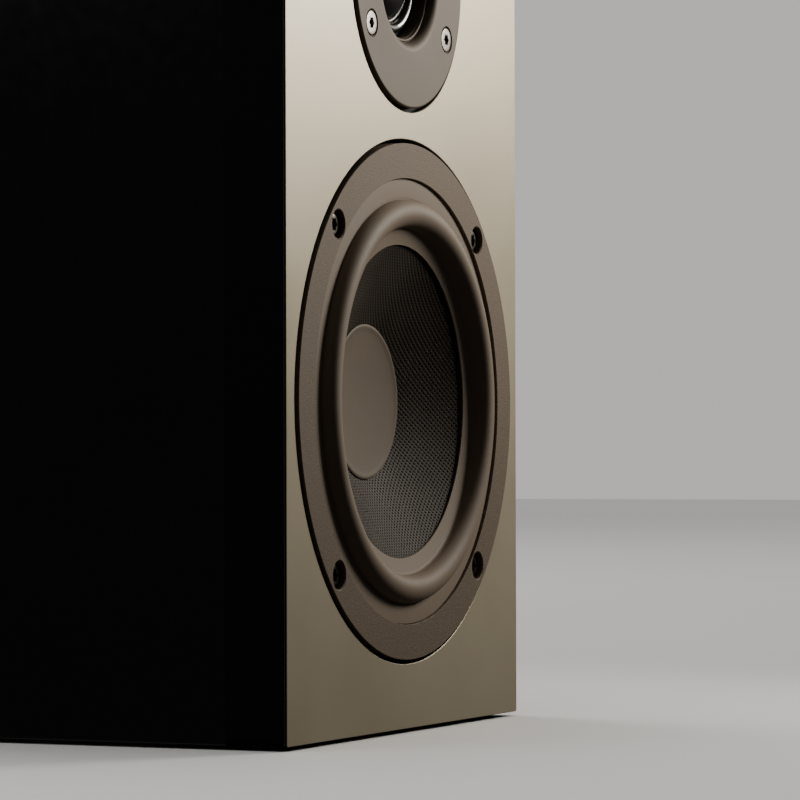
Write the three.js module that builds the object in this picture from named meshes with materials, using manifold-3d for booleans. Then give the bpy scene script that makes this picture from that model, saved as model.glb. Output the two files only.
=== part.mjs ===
// A compact two-way bass-reflex loudspeaker, taken apart into its separate pieces.
// Millimetres, +Z up. The drivers face -Y, X = 0 is the plane through both driver axes,
// and the origin lies under the middle of the whole object, on the surface that it stands on.
// Inside the groups, y = 0 is the front face of the cabinet and y grows towards its rear.

import * as THREE from 'three';
import { mergeVertices } from 'three/addons/utils/BufferGeometryUtils.js';
import Module from 'manifold-3d';

const wasm = await Module();
wasm.setup();

// ---- Driving dimensions ----

const fitGap = 0.3;                // glue line, or play, between two pieces that touch
const through = 5;                 // how far a cutting tool reaches past the piece it cuts

const cabinet = {
  width: 193,
  height: 340,
  depth: 275,
  wall: 15,                        // side, top and bottom panels
  facing: 1,                       // thin satin skin on the front
  baffle: 21,
  rear: 18,
};

const pad = { radius: 9, height: 1.5, insetX: 20, insetY: 24, segments: 16 };

const woofer = {
  height: 112.7,                   // axis above the cabinet's underside
  rebateRadius: 90.5,
  cutoutRadius: 79,
  flangeRadius: 89,
  flangeThickness: 7.6,
  proud: 0.95,                     // flange face ahead of the front
  rimRadius: 76.9,                 // inner edge of the flange face
  seatDepth: 1.45,                 // seat of the rubber surround
  rollRadius: 64.5,                // middle of the half roll
  rollHalfWidth: 5.25,
  rollProud: 4.5,                  // crest of the roll ahead of the front
  lipInner: 54.15,                 // inner edge of the rubber's gluing lip
  capRadius: 27,
  capDepth: 16.8,                  // where the cone meets the dust cap
  coilRadius: 19,
  boltCircle: 82.4,
  segments: 36,
};

const tweeter = {
  height: 258.7,
  rebateRadius: 46.15,
  cutoutRadius: 33.5,
  plateRadius: 44.7,
  proud: 1,
  boltCircle: 36.4,
  domeRadius: 14.3,
  domeBase: 7,
  domeRise: 4.6,
  flareRadius: 25.4,
  flareWidth: 3.6,
  flareDepth: 3.2,
  throatRadius: 20.2,
  couplerRadius: 31,               // the plate's thick middle, which carries the surround
  segments: 32,
};

const port = {
  height: 272,
  boreRadius: 20,
  tubeRadius: 22.6,
  length: 145,
  flangeRadius: 35,
  flangeThickness: 2.5,
  cutoutRadius: 29,
  segments: 28,
};

const terminals = {
  height: 78,
  flangeWidth: 108,
  flangeHeight: 78,
  recessWidth: 80,
  recessHeight: 50,
  recessDepth: 25,
  wall: 2.5,
  postSpacing: 26,
};

const brace = { height: 210, thickness: 12, front: 108, width: 46 };
const lining = { thickness: 18, front: 100, back: 252, bottom: 20, top: 200 };
const crossover = { middle: 175, width: 120, depth: 90, thickness: 1.6 };

const underside = pad.height;
const insideWidth = cabinet.width - 2 * cabinet.wall;
const rearInside = cabinet.depth - cabinet.rear;
const baffleBack = cabinet.facing + fitGap + cabinet.baffle;
const rearmost = cabinet.depth + fitGap + port.flangeThickness;

// ---- Solids ----

function solidOf(geometry) {
  const bare = geometry.clone();
  bare.deleteAttribute('normal');
  bare.deleteAttribute('uv');
  const merged = mergeVertices(bare, 1e-4);
  const mesh = new wasm.Mesh({
    numProp: 3,
    vertProperties: merged.attributes.position.array,
    triVerts: new Uint32Array(merged.index.array),
  });
  return new wasm.Manifold(mesh);
}

function geometryOf(solid) {
  const { vertProperties, triVerts } = solid.getMesh();
  const indexed = new THREE.BufferGeometry();
  indexed.setAttribute('position', new THREE.BufferAttribute(vertProperties, 3));
  indexed.setIndex(new THREE.BufferAttribute(triVerts, 1));
  const flat = indexed.toNonIndexed();
  flat.computeVertexNormals();
  return flat;
}

function cut(geometry, tools) {
  const rest = tools.reduce((left, tool) => left.subtract(solidOf(tool)), solidOf(geometry));
  return geometryOf(rest);
}

function join(geometries) {
  const [first, ...others] = geometries.map(solidOf);
  return geometryOf(others.reduce((whole, next) => whole.add(next), first));
}

// A profile of [radius, y] points spun about the Y axis. It closes on itself,
// unless it starts and ends on the axis.
function turned(profile, segments) {
  const corners = profile.map(([radius, y]) => new THREE.Vector2(radius, y));
  if (THREE.ShapeUtils.area(corners) < 0) corners.reverse();
  if (corners.every((corner) => corner.x > 0)) corners.push(corners[0].clone());
  return new THREE.LatheGeometry(corners, segments);
}

// Points along an arc in the [radius, y] plane; 0 degrees points outwards, 90 to the rear.
function arc(radius, y, across, along, fromDegrees, toDegrees, steps) {
  const points = [];
  for (let i = 0; i <= steps; i += 1) {
    const angle = THREE.MathUtils.degToRad(fromDegrees + ((toDegrees - fromDegrees) * i) / steps);
    points.push([radius + across * Math.cos(angle), y + along * Math.sin(angle)]);
  }
  return points;
}

function plainRing(inner, outer, front, back, segments) {
  return turned([[inner, front], [outer, front], [outer, back], [inner, back]], segments);
}

// A round bar along Y, from y = front to y = back, centred on (x, z).
function bar(radius, front, back, x = 0, z = 0, segments = 12) {
  const length = back - front;
  return new THREE.CylinderGeometry(radius, radius, length, segments).translate(x, front + length / 2, z);
}

function block(x0, x1, y0, y1, z0, z1) {
  const box = new THREE.BoxGeometry(x1 - x0, y1 - y0, z1 - z0);
  return box.translate((x0 + x1) / 2, (y0 + y1) / 2, (z0 + z1) / 2);
}

// A plate with rounded corners in the XZ plane, from y = front to y = back.
function roundedPlate(width, height, corner, front, back) {
  const shape = new THREE.Shape();
  const halfWidth = width / 2 - corner;
  const halfHeight = height / 2 - corner;
  const quarter = Math.PI / 2;
  shape.absarc(halfWidth, halfHeight, corner, 0, quarter);
  shape.absarc(-halfWidth, halfHeight, corner, quarter, 2 * quarter);
  shape.absarc(-halfWidth, -halfHeight, corner, 2 * quarter, 3 * quarter);
  shape.absarc(halfWidth, -halfHeight, corner, 3 * quarter, 4 * quarter);
  const options = { depth: back - front, bevelEnabled: false, curveSegments: 4 };
  const plate = new THREE.ExtrudeGeometry(shape, options);
  return plate.rotateX(Math.PI / 2).translate(0, back, 0);
}

// Evenly spaced places on a circle about the Y axis, as { x, z, angle }.
function aroundCircle(count, radius, firstDegrees) {
  return Array.from({ length: count }, (_, i) => {
    const angle = THREE.MathUtils.degToRad(firstDegrees + (360 * i) / count);
    return { x: radius * Math.cos(angle), z: radius * Math.sin(angle), angle };
  });
}

// ---- Materials ----

function finish(color, roughness, metalness) {
  return new THREE.MeshStandardMaterial({ color, roughness, metalness });
}

const champagne = finish(0xb9ac92, 0.5, 0.3);
const blackLacquer = finish(0x0b0b0c, 0.15, 0);
const blackBoard = finish(0x1c1b1a, 0.8, 0);
const rawBoard = finish(0x9c7b55, 0.85, 0);
const castFrame = finish(0x85796a, 0.6, 0.4);
const satinPlate = finish(0x80746a, 0.45, 0.4);
const rubber = finish(0x24221f, 0.55, 0);
const wovenFibre = finish(0x2b2723, 0.6, 0);
const capPaper = finish(0x625747, 0.6, 0);
const blackCloth = finish(0x17171a, 0.35, 0);
const spiderCloth = finish(0xb98a3a, 0.9, 0);
const copper = finish(0xb4663a, 0.35, 0.9);
const steel = finish(0xa8a9ab, 0.35, 1);
const darkScrew = finish(0x4a4743, 0.3, 1);
const ferrite = finish(0x2a2a2c, 0.7, 0);
const brass = finish(0xc9a24a, 0.25, 1);
const blackPlastic = finish(0x141414, 0.5, 0);
const redPlastic = finish(0xa01818, 0.35, 0);
const felt = finish(0xc9c4b8, 1, 0);
const foam = finish(0x202020, 1, 0);
const circuitBoard = finish(0x5d7a3c, 0.6, 0);
const capacitorFilm = finish(0xd8d2c0, 0.4, 0);
const ceramicBody = finish(0xe6e2d8, 0.7, 0);

const speaker = new THREE.Group();

function add(parent, name, geometry, material) {
  const mesh = new THREE.Mesh(geometry, material);
  mesh.name = name;
  parent.add(mesh);
  return mesh;
}

// A group whose own Y axis is a driver's axis, at a height above the cabinet's underside.
function driverGroup(height) {
  const group = new THREE.Group();
  group.position.z = underside + height;
  speaker.add(group);
  return group;
}

// ---- Screws ----

const frameScrew = { headRadius: 4.2, headTop: 0.8, seat: 4, shankRadius: 2.3, tip: 20 };
const plateScrew = { headRadius: 4.2, shankRadius: 1.9, tip: 18 };
const cupScrew = { headRadius: 3, headHeight: 1.8, shankRadius: 1.4, length: 12 };

function panHeadScrew({ headRadius, headTop, seat, shankRadius, tip }) {
  const back = seat - fitGap;
  const profile = [
    [0, headTop],
    [headRadius - 0.8, headTop],
    [headRadius, headTop + 0.8],
    [headRadius, back],
    [shankRadius, back],
    [shankRadius, tip - 3],
    [0, tip],
  ];
  const socket = new THREE.CylinderGeometry(2.1, 2.1, 4, 6).translate(0, headTop, 0);
  return cut(turned(profile, 14), [socket]);
}

function countersunkScrew({ headRadius, shankRadius, tip }, face) {
  const neck = face + headRadius - shankRadius;
  const profile = [
    [0, face],
    [headRadius, face],
    [headRadius, face + 0.3],
    [shankRadius, neck + 0.3],
    [shankRadius, tip - 3],
    [0, tip],
  ];
  const socket = new THREE.CylinderGeometry(1.7, 1.7, 3, 6).translate(0, face, 0);
  return cut(turned(profile, 14), [socket]);
}

// ---- Cabinet ----

const { width, height, depth, wall } = cabinet;
const halfWidth = width / 2;
const ceiling = underside + height;
const carcassFront = baffleBack + fitGap;
const innerHalf = insideWidth / 2;
const wooferAxis = underside + woofer.height;
const tweeterAxis = underside + tweeter.height;
const wooferScrews = aroundCircle(4, woofer.boltCircle, 45);
const tweeterScrews = aroundCircle(3, tweeter.boltCircle, 90);
const wooferRebate = woofer.flangeThickness - woofer.proud + 1.8;
const tweeterRebate = 3.3;

function makeFacing() {
  const sheet = block(-halfWidth, halfWidth, 0, cabinet.facing, underside, ceiling);
  return cut(sheet, [
    bar(woofer.rebateRadius, -through, through, 0, wooferAxis, woofer.segments),
    bar(tweeter.rebateRadius, -through, through, 0, tweeterAxis, tweeter.segments),
  ]);
}

function makeBaffle() {
  const front = cabinet.facing + fitGap;
  const board = block(-halfWidth, halfWidth, front, baffleBack, underside, ceiling);
  const screwHoles = [
    ...wooferScrews.map(({ x, z }) => bar(2.7, 0, frameScrew.tip + 0.6, x, wooferAxis + z, 6)),
    ...tweeterScrews.map(({ x, z }) => bar(2.4, 0, plateScrew.tip + 0.6, x, tweeterAxis + z, 6)),
  ];
  const behind = baffleBack + through;
  return cut(board, [
    bar(woofer.rebateRadius, -through, wooferRebate, 0, wooferAxis, woofer.segments),
    bar(woofer.cutoutRadius, -through, behind, 0, wooferAxis, 32),
    bar(tweeter.rebateRadius, -through, tweeterRebate, 0, tweeterAxis, tweeter.segments),
    bar(tweeter.cutoutRadius, -through, behind, 0, tweeterAxis, 24),
    ...screwHoles,
  ]);
}

function makeRearPanel() {
  const half = innerHalf - fitGap;
  const low = underside + wall + fitGap;
  const board = block(-half, half, rearInside, depth, low, ceiling - wall - fitGap);
  const cupHalfWidth = terminals.recessWidth / 2 + terminals.wall + fitGap;
  const cupHalfHeight = terminals.recessHeight / 2 + terminals.wall + fitGap;
  const z = underside + terminals.height;
  const cupLow = z - cupHalfHeight;
  const inFront = rearInside - through;
  const behind = depth + through;
  const cupHole = block(-cupHalfWidth, cupHalfWidth, inFront, behind, cupLow, z + cupHalfHeight);
  const screwHoles = cupCorners().map((at) => bar(1.8, depth - 13, behind, at.x, z + at.z, 8));
  const portHole = bar(port.cutoutRadius, inFront, behind, 0, underside + port.height, port.segments);
  return cut(board, [cupHole, portHole, ...screwHoles]);
}

function cupCorners() {
  const inset = 6;
  const x = terminals.flangeWidth / 2 - inset;
  const z = terminals.flangeHeight / 2 - inset;
  return [{ x: -x, z: -z }, { x, z: -z }, { x: -x, z }, { x, z }];
}

const cabinetGroup = new THREE.Group();
speaker.add(cabinetGroup);
add(cabinetGroup, 'front_facing', makeFacing(), champagne);
add(cabinetGroup, 'front_baffle', makeBaffle(), blackBoard);
const sideLeft = block(-halfWidth, -innerHalf, carcassFront, depth, underside, ceiling);
const sideRight = block(innerHalf, halfWidth, carcassFront, depth, underside, ceiling);
add(cabinetGroup, 'side_panel_left', sideLeft, blackLacquer);
add(cabinetGroup, 'side_panel_right', sideRight, blackLacquer);
const span = innerHalf - fitGap;
const floorBoard = block(-span, span, carcassFront, depth, underside, underside + wall);
const topBoard = block(-span, span, carcassFront, depth, ceiling - wall, ceiling);
add(cabinetGroup, 'bottom_panel', floorBoard, blackLacquer);
add(cabinetGroup, 'top_panel', topBoard, blackLacquer);
add(cabinetGroup, 'rear_panel', makeRearPanel(), blackBoard);
const braceLow = underside + brace.height - brace.thickness / 2;
const braceTop = braceLow + brace.thickness;
const braceBar = block(-span, span, brace.front, brace.front + brace.width, braceLow, braceTop);
add(cabinetGroup, 'cross_brace', braceBar, rawBoard);

const padTop = pad.height - 0.02;
for (const [side, direction] of [['left', -1], ['right', 1]]) {
  for (const [end, y] of [['front', pad.insetY], ['rear', depth - pad.insetY]]) {
    const disc = new THREE.CylinderGeometry(pad.radius, pad.radius, padTop, pad.segments);
    const foot = add(cabinetGroup, `foot_pad_${end}_${side}`, disc.rotateX(Math.PI / 2), foam);
    foot.position.set(direction * (halfWidth - pad.insetX), y, padTop / 2);
  }
  const { thickness, front, back, bottom, top } = lining;
  const [nearWall, nearMiddle] = [innerHalf - fitGap, innerHalf - thickness];
  const mat = block(nearMiddle, nearWall, front, back, bottom, top);
  if (direction < 0) mat.translate(-nearMiddle - nearWall, 0, 0);
  add(cabinetGroup, `damping_felt_${side}`, mat, felt);
}

// ---- Bass-reflex port, let into the rear panel ----

const portMouth = rearmost - 0.8;
const portEnd = rearmost - port.length;
const flare = { width: 7.5, length: 17 };
const flareMiddle = port.boreRadius + flare.width;
const portProfile = [
  [port.flangeRadius, cabinet.depth + fitGap],
  [port.flangeRadius, portMouth],
  [port.flangeRadius - 1, rearmost],
  ...arc(flareMiddle, rearmost - flare.length, -flare.width, flare.length, 90, 0, 5),
  [port.boreRadius, portEnd],
  [port.tubeRadius, portEnd],
  [port.tubeRadius, depth - 21],
  [port.cutoutRadius - 0.6, depth - 12],
  [port.cutoutRadius - 0.6, cabinet.depth + fitGap],
];
const portTube = add(speaker, 'port_tube', turned(portProfile, port.segments), blackPlastic);
portTube.position.z = underside + port.height;

// ---- Terminal cup with its two screw-down binding posts ----

const cupGroup = new THREE.Group();
cupGroup.position.z = underside + terminals.height;
speaker.add(cupGroup);
const flangeFront = depth + fitGap;
const recessFloor = rearmost - terminals.recessDepth;
const cupBack = recessFloor - terminals.wall;
const cupWidth = terminals.recessWidth + 2 * terminals.wall;
const cupHeight = terminals.recessHeight + 2 * terminals.wall;
const postPlaces = [['black', -terminals.postSpacing / 2], ['red', terminals.postSpacing / 2]];

function makeCup() {
  const body = join([
    roundedPlate(terminals.flangeWidth, terminals.flangeHeight, 8, flangeFront, rearmost),
    block(-cupWidth / 2, cupWidth / 2, cupBack, flangeFront + 1, -cupHeight / 2, cupHeight / 2),
  ]);
  const halfRecess = terminals.recessWidth / 2;
  const halfTall = terminals.recessHeight / 2;
  const behind = rearmost + through;
  return cut(body, [
    block(-halfRecess, halfRecess, recessFloor, behind, -halfTall, halfTall),
    ...postPlaces.map(([, x]) => bar(3.6, cupBack - through, rearmost, x, 0, 16)),
    ...cupCorners().map(({ x, z }) => bar(1.8, flangeFront - through, behind, x, z, 10)),
  ]);
}

add(cupGroup, 'terminal_cup', makeCup(), blackPlastic);

const screwSeat = rearmost + fitGap;
const cupScrewProfile = [
  [0, screwSeat - cupScrew.length],
  [cupScrew.shankRadius, screwSeat - cupScrew.length + 2],
  [cupScrew.shankRadius, screwSeat],
  [cupScrew.headRadius, screwSeat],
  [cupScrew.headRadius, screwSeat + 0.8],
  [cupScrew.headRadius - 1, screwSeat + cupScrew.headHeight],
  [0, screwSeat + cupScrew.headHeight],
];
cupCorners().forEach((place, i) => {
  const slots = [
    block(-0.4, 0.4, screwSeat + 0.9, screwSeat + 3, -1.6, 1.6),
    block(-1.6, 1.6, screwSeat + 0.9, screwSeat + 3, -0.4, 0.4),
  ];
  const shape = cut(turned(cupScrewProfile, 12), slots);
  const screw = add(cupGroup, `terminal_screw_${i + 1}`, shape, darkScrew);
  screw.position.set(place.x, 0, place.z);
});

const post = { stud: 3, shoulder: 6.4, collar: 5.6, knob: 7, boss: 2.6, ring: 2.4, knobLength: 14 };
const shoulderFront = recessFloor + fitGap;
const shoulderBack = shoulderFront + post.boss;
const collarFront = shoulderBack + fitGap;
const knobFront = collarFront + post.ring + fitGap;
const knobBack = knobFront + post.knobLength;
const studEnd = knobBack + 1;
const plugBore = 2.05;
const knobBore = post.stud + 0.5;

function makeStud() {
  const profile = [
    [0, cupBack - 12],
    [post.stud, cupBack - 12],
    [post.stud, shoulderFront],
    [post.shoulder, shoulderFront],
    [post.shoulder, shoulderBack],
    [post.stud, shoulderBack],
    [post.stud, studEnd],
    [plugBore, studEnd],
    [plugBore, studEnd - 16],
    [0, studEnd - 16],
  ];
  return turned(profile, 14);
}

// The grip has flutes all round, so that fingers can turn it.
function makeKnob() {
  const profile = [
    [knobBore, knobFront],
    [post.knob, knobFront],
    [post.knob, knobBack - 1],
    [post.knob - 1, knobBack],
    [knobBore, knobBack],
  ];
  const flutes = aroundCircle(8, post.knob + 0.5, 11.25).map(({ x, z }) => {
    return bar(1.3, knobFront + 2, knobBack + 2, x, z, 6);
  });
  return cut(turned(profile, 16), flutes);
}

for (const [colour, x] of postPlaces) {
  const plastic = colour === 'red' ? redPlastic : blackPlastic;
  add(cupGroup, `post_stud_${colour}`, makeStud(), brass).position.x = x;
  const ring = plainRing(knobBore, post.collar, collarFront, collarFront + post.ring, 18);
  add(cupGroup, `post_collar_${colour}`, ring, brass).position.x = x;
  add(cupGroup, `post_knob_${colour}`, makeKnob(), plastic).position.x = x;
}

// ---- Woofer ----

const wooferGroup = driverGroup(woofer.height);
const faceY = -woofer.proud;
const flangeBack = faceY + woofer.flangeThickness;
const plateY = 60;                 // front of the magnet system
const spiderShelf = 46;
const seatInner = 70.6;            // inner edge of the seat that holds the rubber

function makeWooferFrame() {
  const profile = [
    [woofer.flangeRadius, flangeBack],
    [woofer.flangeRadius, faceY + 0.9],
    [woofer.flangeRadius - 0.9, faceY],
    [woofer.rimRadius + 0.5, faceY],
    [woofer.rimRadius, faceY + 0.5],
    [woofer.rimRadius, woofer.seatDepth],
    [seatInner, woofer.seatDepth],
    [seatInner, flangeBack + 1],
    [68, 16],
    [51, spiderShelf],
    [44, spiderShelf],
    [44, plateY - 3.5],
    [31, plateY - 3.5],
    [31, plateY - fitGap],
    [48, plateY - fitGap],
    [54, spiderShelf + 2],
    [72, 17],
    [76, flangeBack + 3],
    [76, flangeBack],
  ];
  const windows = aroundCircle(8, 62, 22.5).map(({ x, z, angle }) => {
    const opening = new THREE.BoxGeometry(36, 22, 24);
    return opening.rotateY(-angle).translate(x, 31, z);
  });
  const holes = wooferScrews.flatMap(({ x, z }) => [
    bar(4.85, faceY - 3, frameScrew.seat, x, z, 12),
    bar(2.7, faceY, flangeBack + 3, x, z, 8),
  ]);
  return cut(turned(profile, woofer.segments), [...windows, ...holes]);
}

function makeWooferGasket() {
  const front = flangeBack + fitGap;
  const back = front + 1.2;
  const ring = plainRing(woofer.cutoutRadius + 0.4, woofer.flangeRadius - 0.4, front, back, 32);
  return cut(ring, wooferScrews.map(({ x, z }) => bar(2.7, front - 5, back + 5, x, z, 6)));
}

const rollY = woofer.rollHalfWidth - woofer.rollProud;
const rubberThickness = 0.9;
const lipY = 2.8;

function makeSurround() {
  const outside = woofer.rollHalfWidth;
  const inside = outside - rubberThickness;
  const flangeTop = 0.15;
  return turned([
    [woofer.rimRadius - fitGap, flangeTop],
    [woofer.rollRadius + outside, flangeTop],
    ...arc(woofer.rollRadius, rollY, outside, outside, 0, -180, 6),
    [woofer.lipInner, lipY],
    [woofer.lipInner, lipY + 0.5],
    [woofer.rollRadius - inside, rollY + 1],
    ...arc(woofer.rollRadius, rollY, inside, inside, -180, 0, 4),
    [woofer.rollRadius + inside, flangeTop + 1],
    [woofer.rimRadius - fitGap, flangeTop + 1],
  ], woofer.segments);
}

const coneThickness = 1.1;
const coneEdgeY = lipY + 0.5 + fitGap;
const coneSlope = (woofer.capDepth - coneEdgeY) / (woofer.lipInner - woofer.capRadius);
const neckRadius = woofer.coilRadius + 0.4;
const neckY = woofer.capDepth + (woofer.capRadius - neckRadius) * coneSlope;

function makeCone() {
  const edge = [58.8, 2.4];
  return turned([
    edge,
    [woofer.lipInner, coneEdgeY],
    [woofer.capRadius, woofer.capDepth],
    [neckRadius, neckY],
    [neckRadius, neckY + coneThickness],
    [woofer.capRadius, woofer.capDepth + coneThickness],
    [woofer.lipInner, coneEdgeY + coneThickness],
    [edge[0], edge[1] + coneThickness],
  ], woofer.segments);
}

// The dust cap is dished inwards.
function makeDustCap() {
  const rim = woofer.capRadius;
  const middle = woofer.capDepth + 1.6;
  return turned([
    [0, middle],
    [9, middle - 0.25],
    [18, middle - 1],
    [rim - 1, woofer.capDepth - 0.7],
    [rim - 0.1, woofer.capDepth - 0.6],
    [rim - 1, woofer.capDepth - 0.05],
    [18, middle - 0.2],
    [9, middle + 0.55],
    [0, middle + 0.8],
  ], 24);
}

function makeWooferCoil() {
  const inside = woofer.coilRadius - 0.5;
  const winding = woofer.coilRadius + 1.2;
  return turned([
    [inside, 20],
    [woofer.coilRadius, 20],
    [woofer.coilRadius, 55],
    [winding, 55],
    [winding, 71],
    [inside, 71],
  ], 24);
}

// Rings of waves let the spider stretch while it keeps the coil in the middle.
function makeSpider() {
  const middle = spiderShelf - 1.4;
  const waveStart = 22.5;
  const waveStep = 2.8;
  const crests = 8;
  const front = [[woofer.coilRadius + fitGap + 0.1, middle]];
  for (let i = 0; i < crests; i += 1) {
    front.push([waveStart + waveStep * i, middle + (i % 2 ? 1 : -1)]);
  }
  front.push([45, middle], [50, middle]);
  const back = front.map(([radius, y]) => [radius, y + 0.7]).reverse();
  return turned([...front, ...back], 24);
}

// Rings of the woofer's motor: inner radius, outer radius, front, back.
const frontPlate = [woofer.coilRadius + 2.6, 48, plateY, plateY + 6];
const wooferMagnet = [25, 50, frontPlate[3] + fitGap, frontPlate[3] + fitGap + 18];

function makeYoke() {
  const pole = woofer.coilRadius - 1.4;
  const vent = 5;
  const edge = frontPlate[1];
  const plateTop = wooferMagnet[3] + fitGap;
  return turned([
    [vent, plateY + 0.5],
    [pole, plateY + 0.5],
    [pole, plateTop],
    [edge, plateTop],
    [edge, plateTop + 6],
    [vent, plateTop + 6],
  ], 24);
}

add(wooferGroup, 'woofer_frame', makeWooferFrame(), castFrame);
add(wooferGroup, 'woofer_gasket', makeWooferGasket(), foam);
add(wooferGroup, 'woofer_surround', makeSurround(), rubber);
add(wooferGroup, 'woofer_cone', makeCone(), wovenFibre);
add(wooferGroup, 'woofer_dust_cap', makeDustCap(), capPaper);
add(wooferGroup, 'woofer_voice_coil', makeWooferCoil(), copper);
add(wooferGroup, 'woofer_spider', makeSpider(), spiderCloth);
add(wooferGroup, 'woofer_front_plate', plainRing(...frontPlate, 28), steel);
add(wooferGroup, 'woofer_magnet', plainRing(...wooferMagnet, 28), ferrite);
add(wooferGroup, 'woofer_yoke', makeYoke(), steel);
const tagStrip = add(wooferGroup, 'woofer_tag_strip', block(-9, 9, 36, 44, -2, 2), blackPlastic);
tagStrip.position.z = -66;
wooferScrews.forEach(({ x, z }, i) => {
  const screw = add(wooferGroup, `woofer_screw_${i + 1}`, panHeadScrew(frameScrew), darkScrew);
  screw.position.set(x, 0, z);
});

// ---- Tweeter ----

const tweeterGroup = driverGroup(tweeter.height);
const plateFace = -tweeter.proud;
const clampY = tweeter.domeBase - 0.4;

function makeTweeterPlate() {
  const { flareRadius, flareWidth, flareDepth, throatRadius, couplerRadius } = tweeter;
  const profile = [
    [tweeter.plateRadius, plateFace + 0.7],
    [tweeter.plateRadius - 0.7, plateFace],
    ...arc(flareRadius, plateFace + flareDepth, -flareWidth, -flareDepth, 90, 0, 3),
    [throatRadius + 0.8, plateFace + flareDepth + 0.4],
    [throatRadius, plateFace + flareDepth + 1],
    [throatRadius, clampY],
    [couplerRadius, clampY],
    [couplerRadius, 3],
    [tweeter.plateRadius, 3],
  ];
  const sinks = tweeterScrews.flatMap(({ x, z }) => {
    const cone = new THREE.CylinderGeometry(2.3, 4.9, 2.6, 12);
    return [
      cone.translate(x, plateFace + 1.29, z),
      bar(2.3, plateFace, 5, x, z, 8),
    ];
  });
  return cut(turned(profile, tweeter.segments), sinks);
}

function makeDome() {
  const { domeRadius, domeRise, domeBase } = tweeter;
  const curve = (domeRadius ** 2 + domeRise ** 2) / (2 * domeRise);
  const half = THREE.MathUtils.radToDeg(Math.asin(domeRadius / curve));
  const centre = domeBase - domeRise + curve;
  const thickness = 0.5;
  const skin = curve - thickness;
  const outside = arc(0, centre, curve, curve, -90, -90 + half, 4);
  const inside = arc(0, centre, skin, skin, -90 + half, -90, 4);
  outside[0][0] = 0;
  inside[4][0] = 0;
  return turned([...outside, ...inside], 24);
}

function makeTweeterSurround() {
  const roll = 2.1;
  const skin = 0.5;
  const middle = tweeter.domeRadius + fitGap + roll;
  const base = tweeter.domeBase + 0.4;
  return turned([
    ...arc(middle, base, roll, roll, -180, 0, 4),
    [24, base - fitGap - 0.1],
    [24, base + skin - 0.4],
    ...arc(middle, base, roll - skin, roll - skin, 0, -180, 4),
  ], 24);
}

// Rings of the tweeter's motor: inner radius, outer radius, front, back.
const tweeterCoil = [13.8, tweeter.domeRadius, tweeter.domeBase + 0.9, 15];
const ringPlate = [15.6, 30, 8, 11.5];
const ringMagnet = [18, 32.5, 11.8, 23.8];

function makeTweeterYoke() {
  const pole = tweeterCoil[0] - 0.9;
  const poleFace = ringPlate[2] + 0.6;
  const edge = ringPlate[1];
  const top = ringMagnet[3] + fitGap;
  return turned([
    [0, poleFace],
    [pole, poleFace],
    [pole, top],
    [edge, top],
    [edge, top + 4],
    [0, top + 4],
  ], 24);
}

add(tweeterGroup, 'tweeter_faceplate', makeTweeterPlate(), satinPlate);
add(tweeterGroup, 'tweeter_dome', makeDome(), blackCloth);
add(tweeterGroup, 'tweeter_surround', makeTweeterSurround(), blackCloth);
add(tweeterGroup, 'tweeter_voice_coil', plainRing(...tweeterCoil, 24), copper);
add(tweeterGroup, 'tweeter_front_plate', plainRing(...ringPlate, 24), steel);
add(tweeterGroup, 'tweeter_magnet', plainRing(...ringMagnet, 24), ferrite);
add(tweeterGroup, 'tweeter_yoke', makeTweeterYoke(), steel);
tweeterScrews.forEach(({ x, z }, i) => {
  const shape = countersunkScrew(plateScrew, plateFace + 0.1);
  const screw = add(tweeterGroup, `tweeter_screw_${i + 1}`, shape, darkScrew);
  screw.position.set(x, 0, z);
});

// ---- Crossover, on the cabinet's floor ----

const crossoverGroup = new THREE.Group();
const boardTop = underside + wall + fitGap + crossover.thickness;
crossoverGroup.position.set(0, crossover.middle, boardTop);
speaker.add(crossoverGroup);
const halfBoard = [crossover.width / 2, crossover.depth / 2];
const board = block(-halfBoard[0], halfBoard[0], -halfBoard[1], halfBoard[1], -crossover.thickness, 0);
add(crossoverGroup, 'crossover_board', board, circuitBoard);

// A bobbin with its winding, standing upright on the board.
function makeInductor(inner, outer, tall) {
  const profile = [
    [inner, 0],
    [outer, 0],
    [outer, 2],
    [outer - 2, 2],
    [outer - 2, tall - 2],
    [outer, tall - 2],
    [outer, tall],
    [inner, tall],
  ];
  return turned(profile, 20).rotateX(Math.PI / 2).translate(0, 0, fitGap);
}

function makeCapacitor(radius, length) {
  const lying = new THREE.CylinderGeometry(radius, radius, length, 20).rotateZ(Math.PI / 2);
  return lying.translate(0, 0, radius + fitGap);
}

const onBoard = [
  ['woofer_inductor', makeInductor(9, 22, 22), copper, -34, 18],
  ['tweeter_inductor', makeInductor(7, 16, 15), copper, 40, 24],
  ['woofer_capacitor', makeCapacitor(11, 40), capacitorFilm, -30, -24],
  ['tweeter_capacitor', makeCapacitor(8, 32), capacitorFilm, 32, -30],
  ['tweeter_resistor', block(-24, 24, -4.5, 4.5, fitGap, fitGap + 9), ceramicBody, 28, -7],
];
for (const [name, geometry, material, x, y] of onBoard) {
  add(crossoverGroup, name, geometry, material).position.set(x, y, 0);
}

// ---- Internal leads: twin cable from the terminals, and on to each driver ----

const leadRadius = 2;

function makeLead(route, steps) {
  const path = new THREE.CatmullRomCurve3(route.map((at) => new THREE.Vector3(...at)));
  const section = new THREE.Shape();
  section.absarc(0, 0, leadRadius, 0, 2 * Math.PI);
  const options = { steps, extrudePath: path, curveSegments: 4, bevelEnabled: false };
  return new THREE.ExtrudeGeometry(section, options);
}

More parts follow.
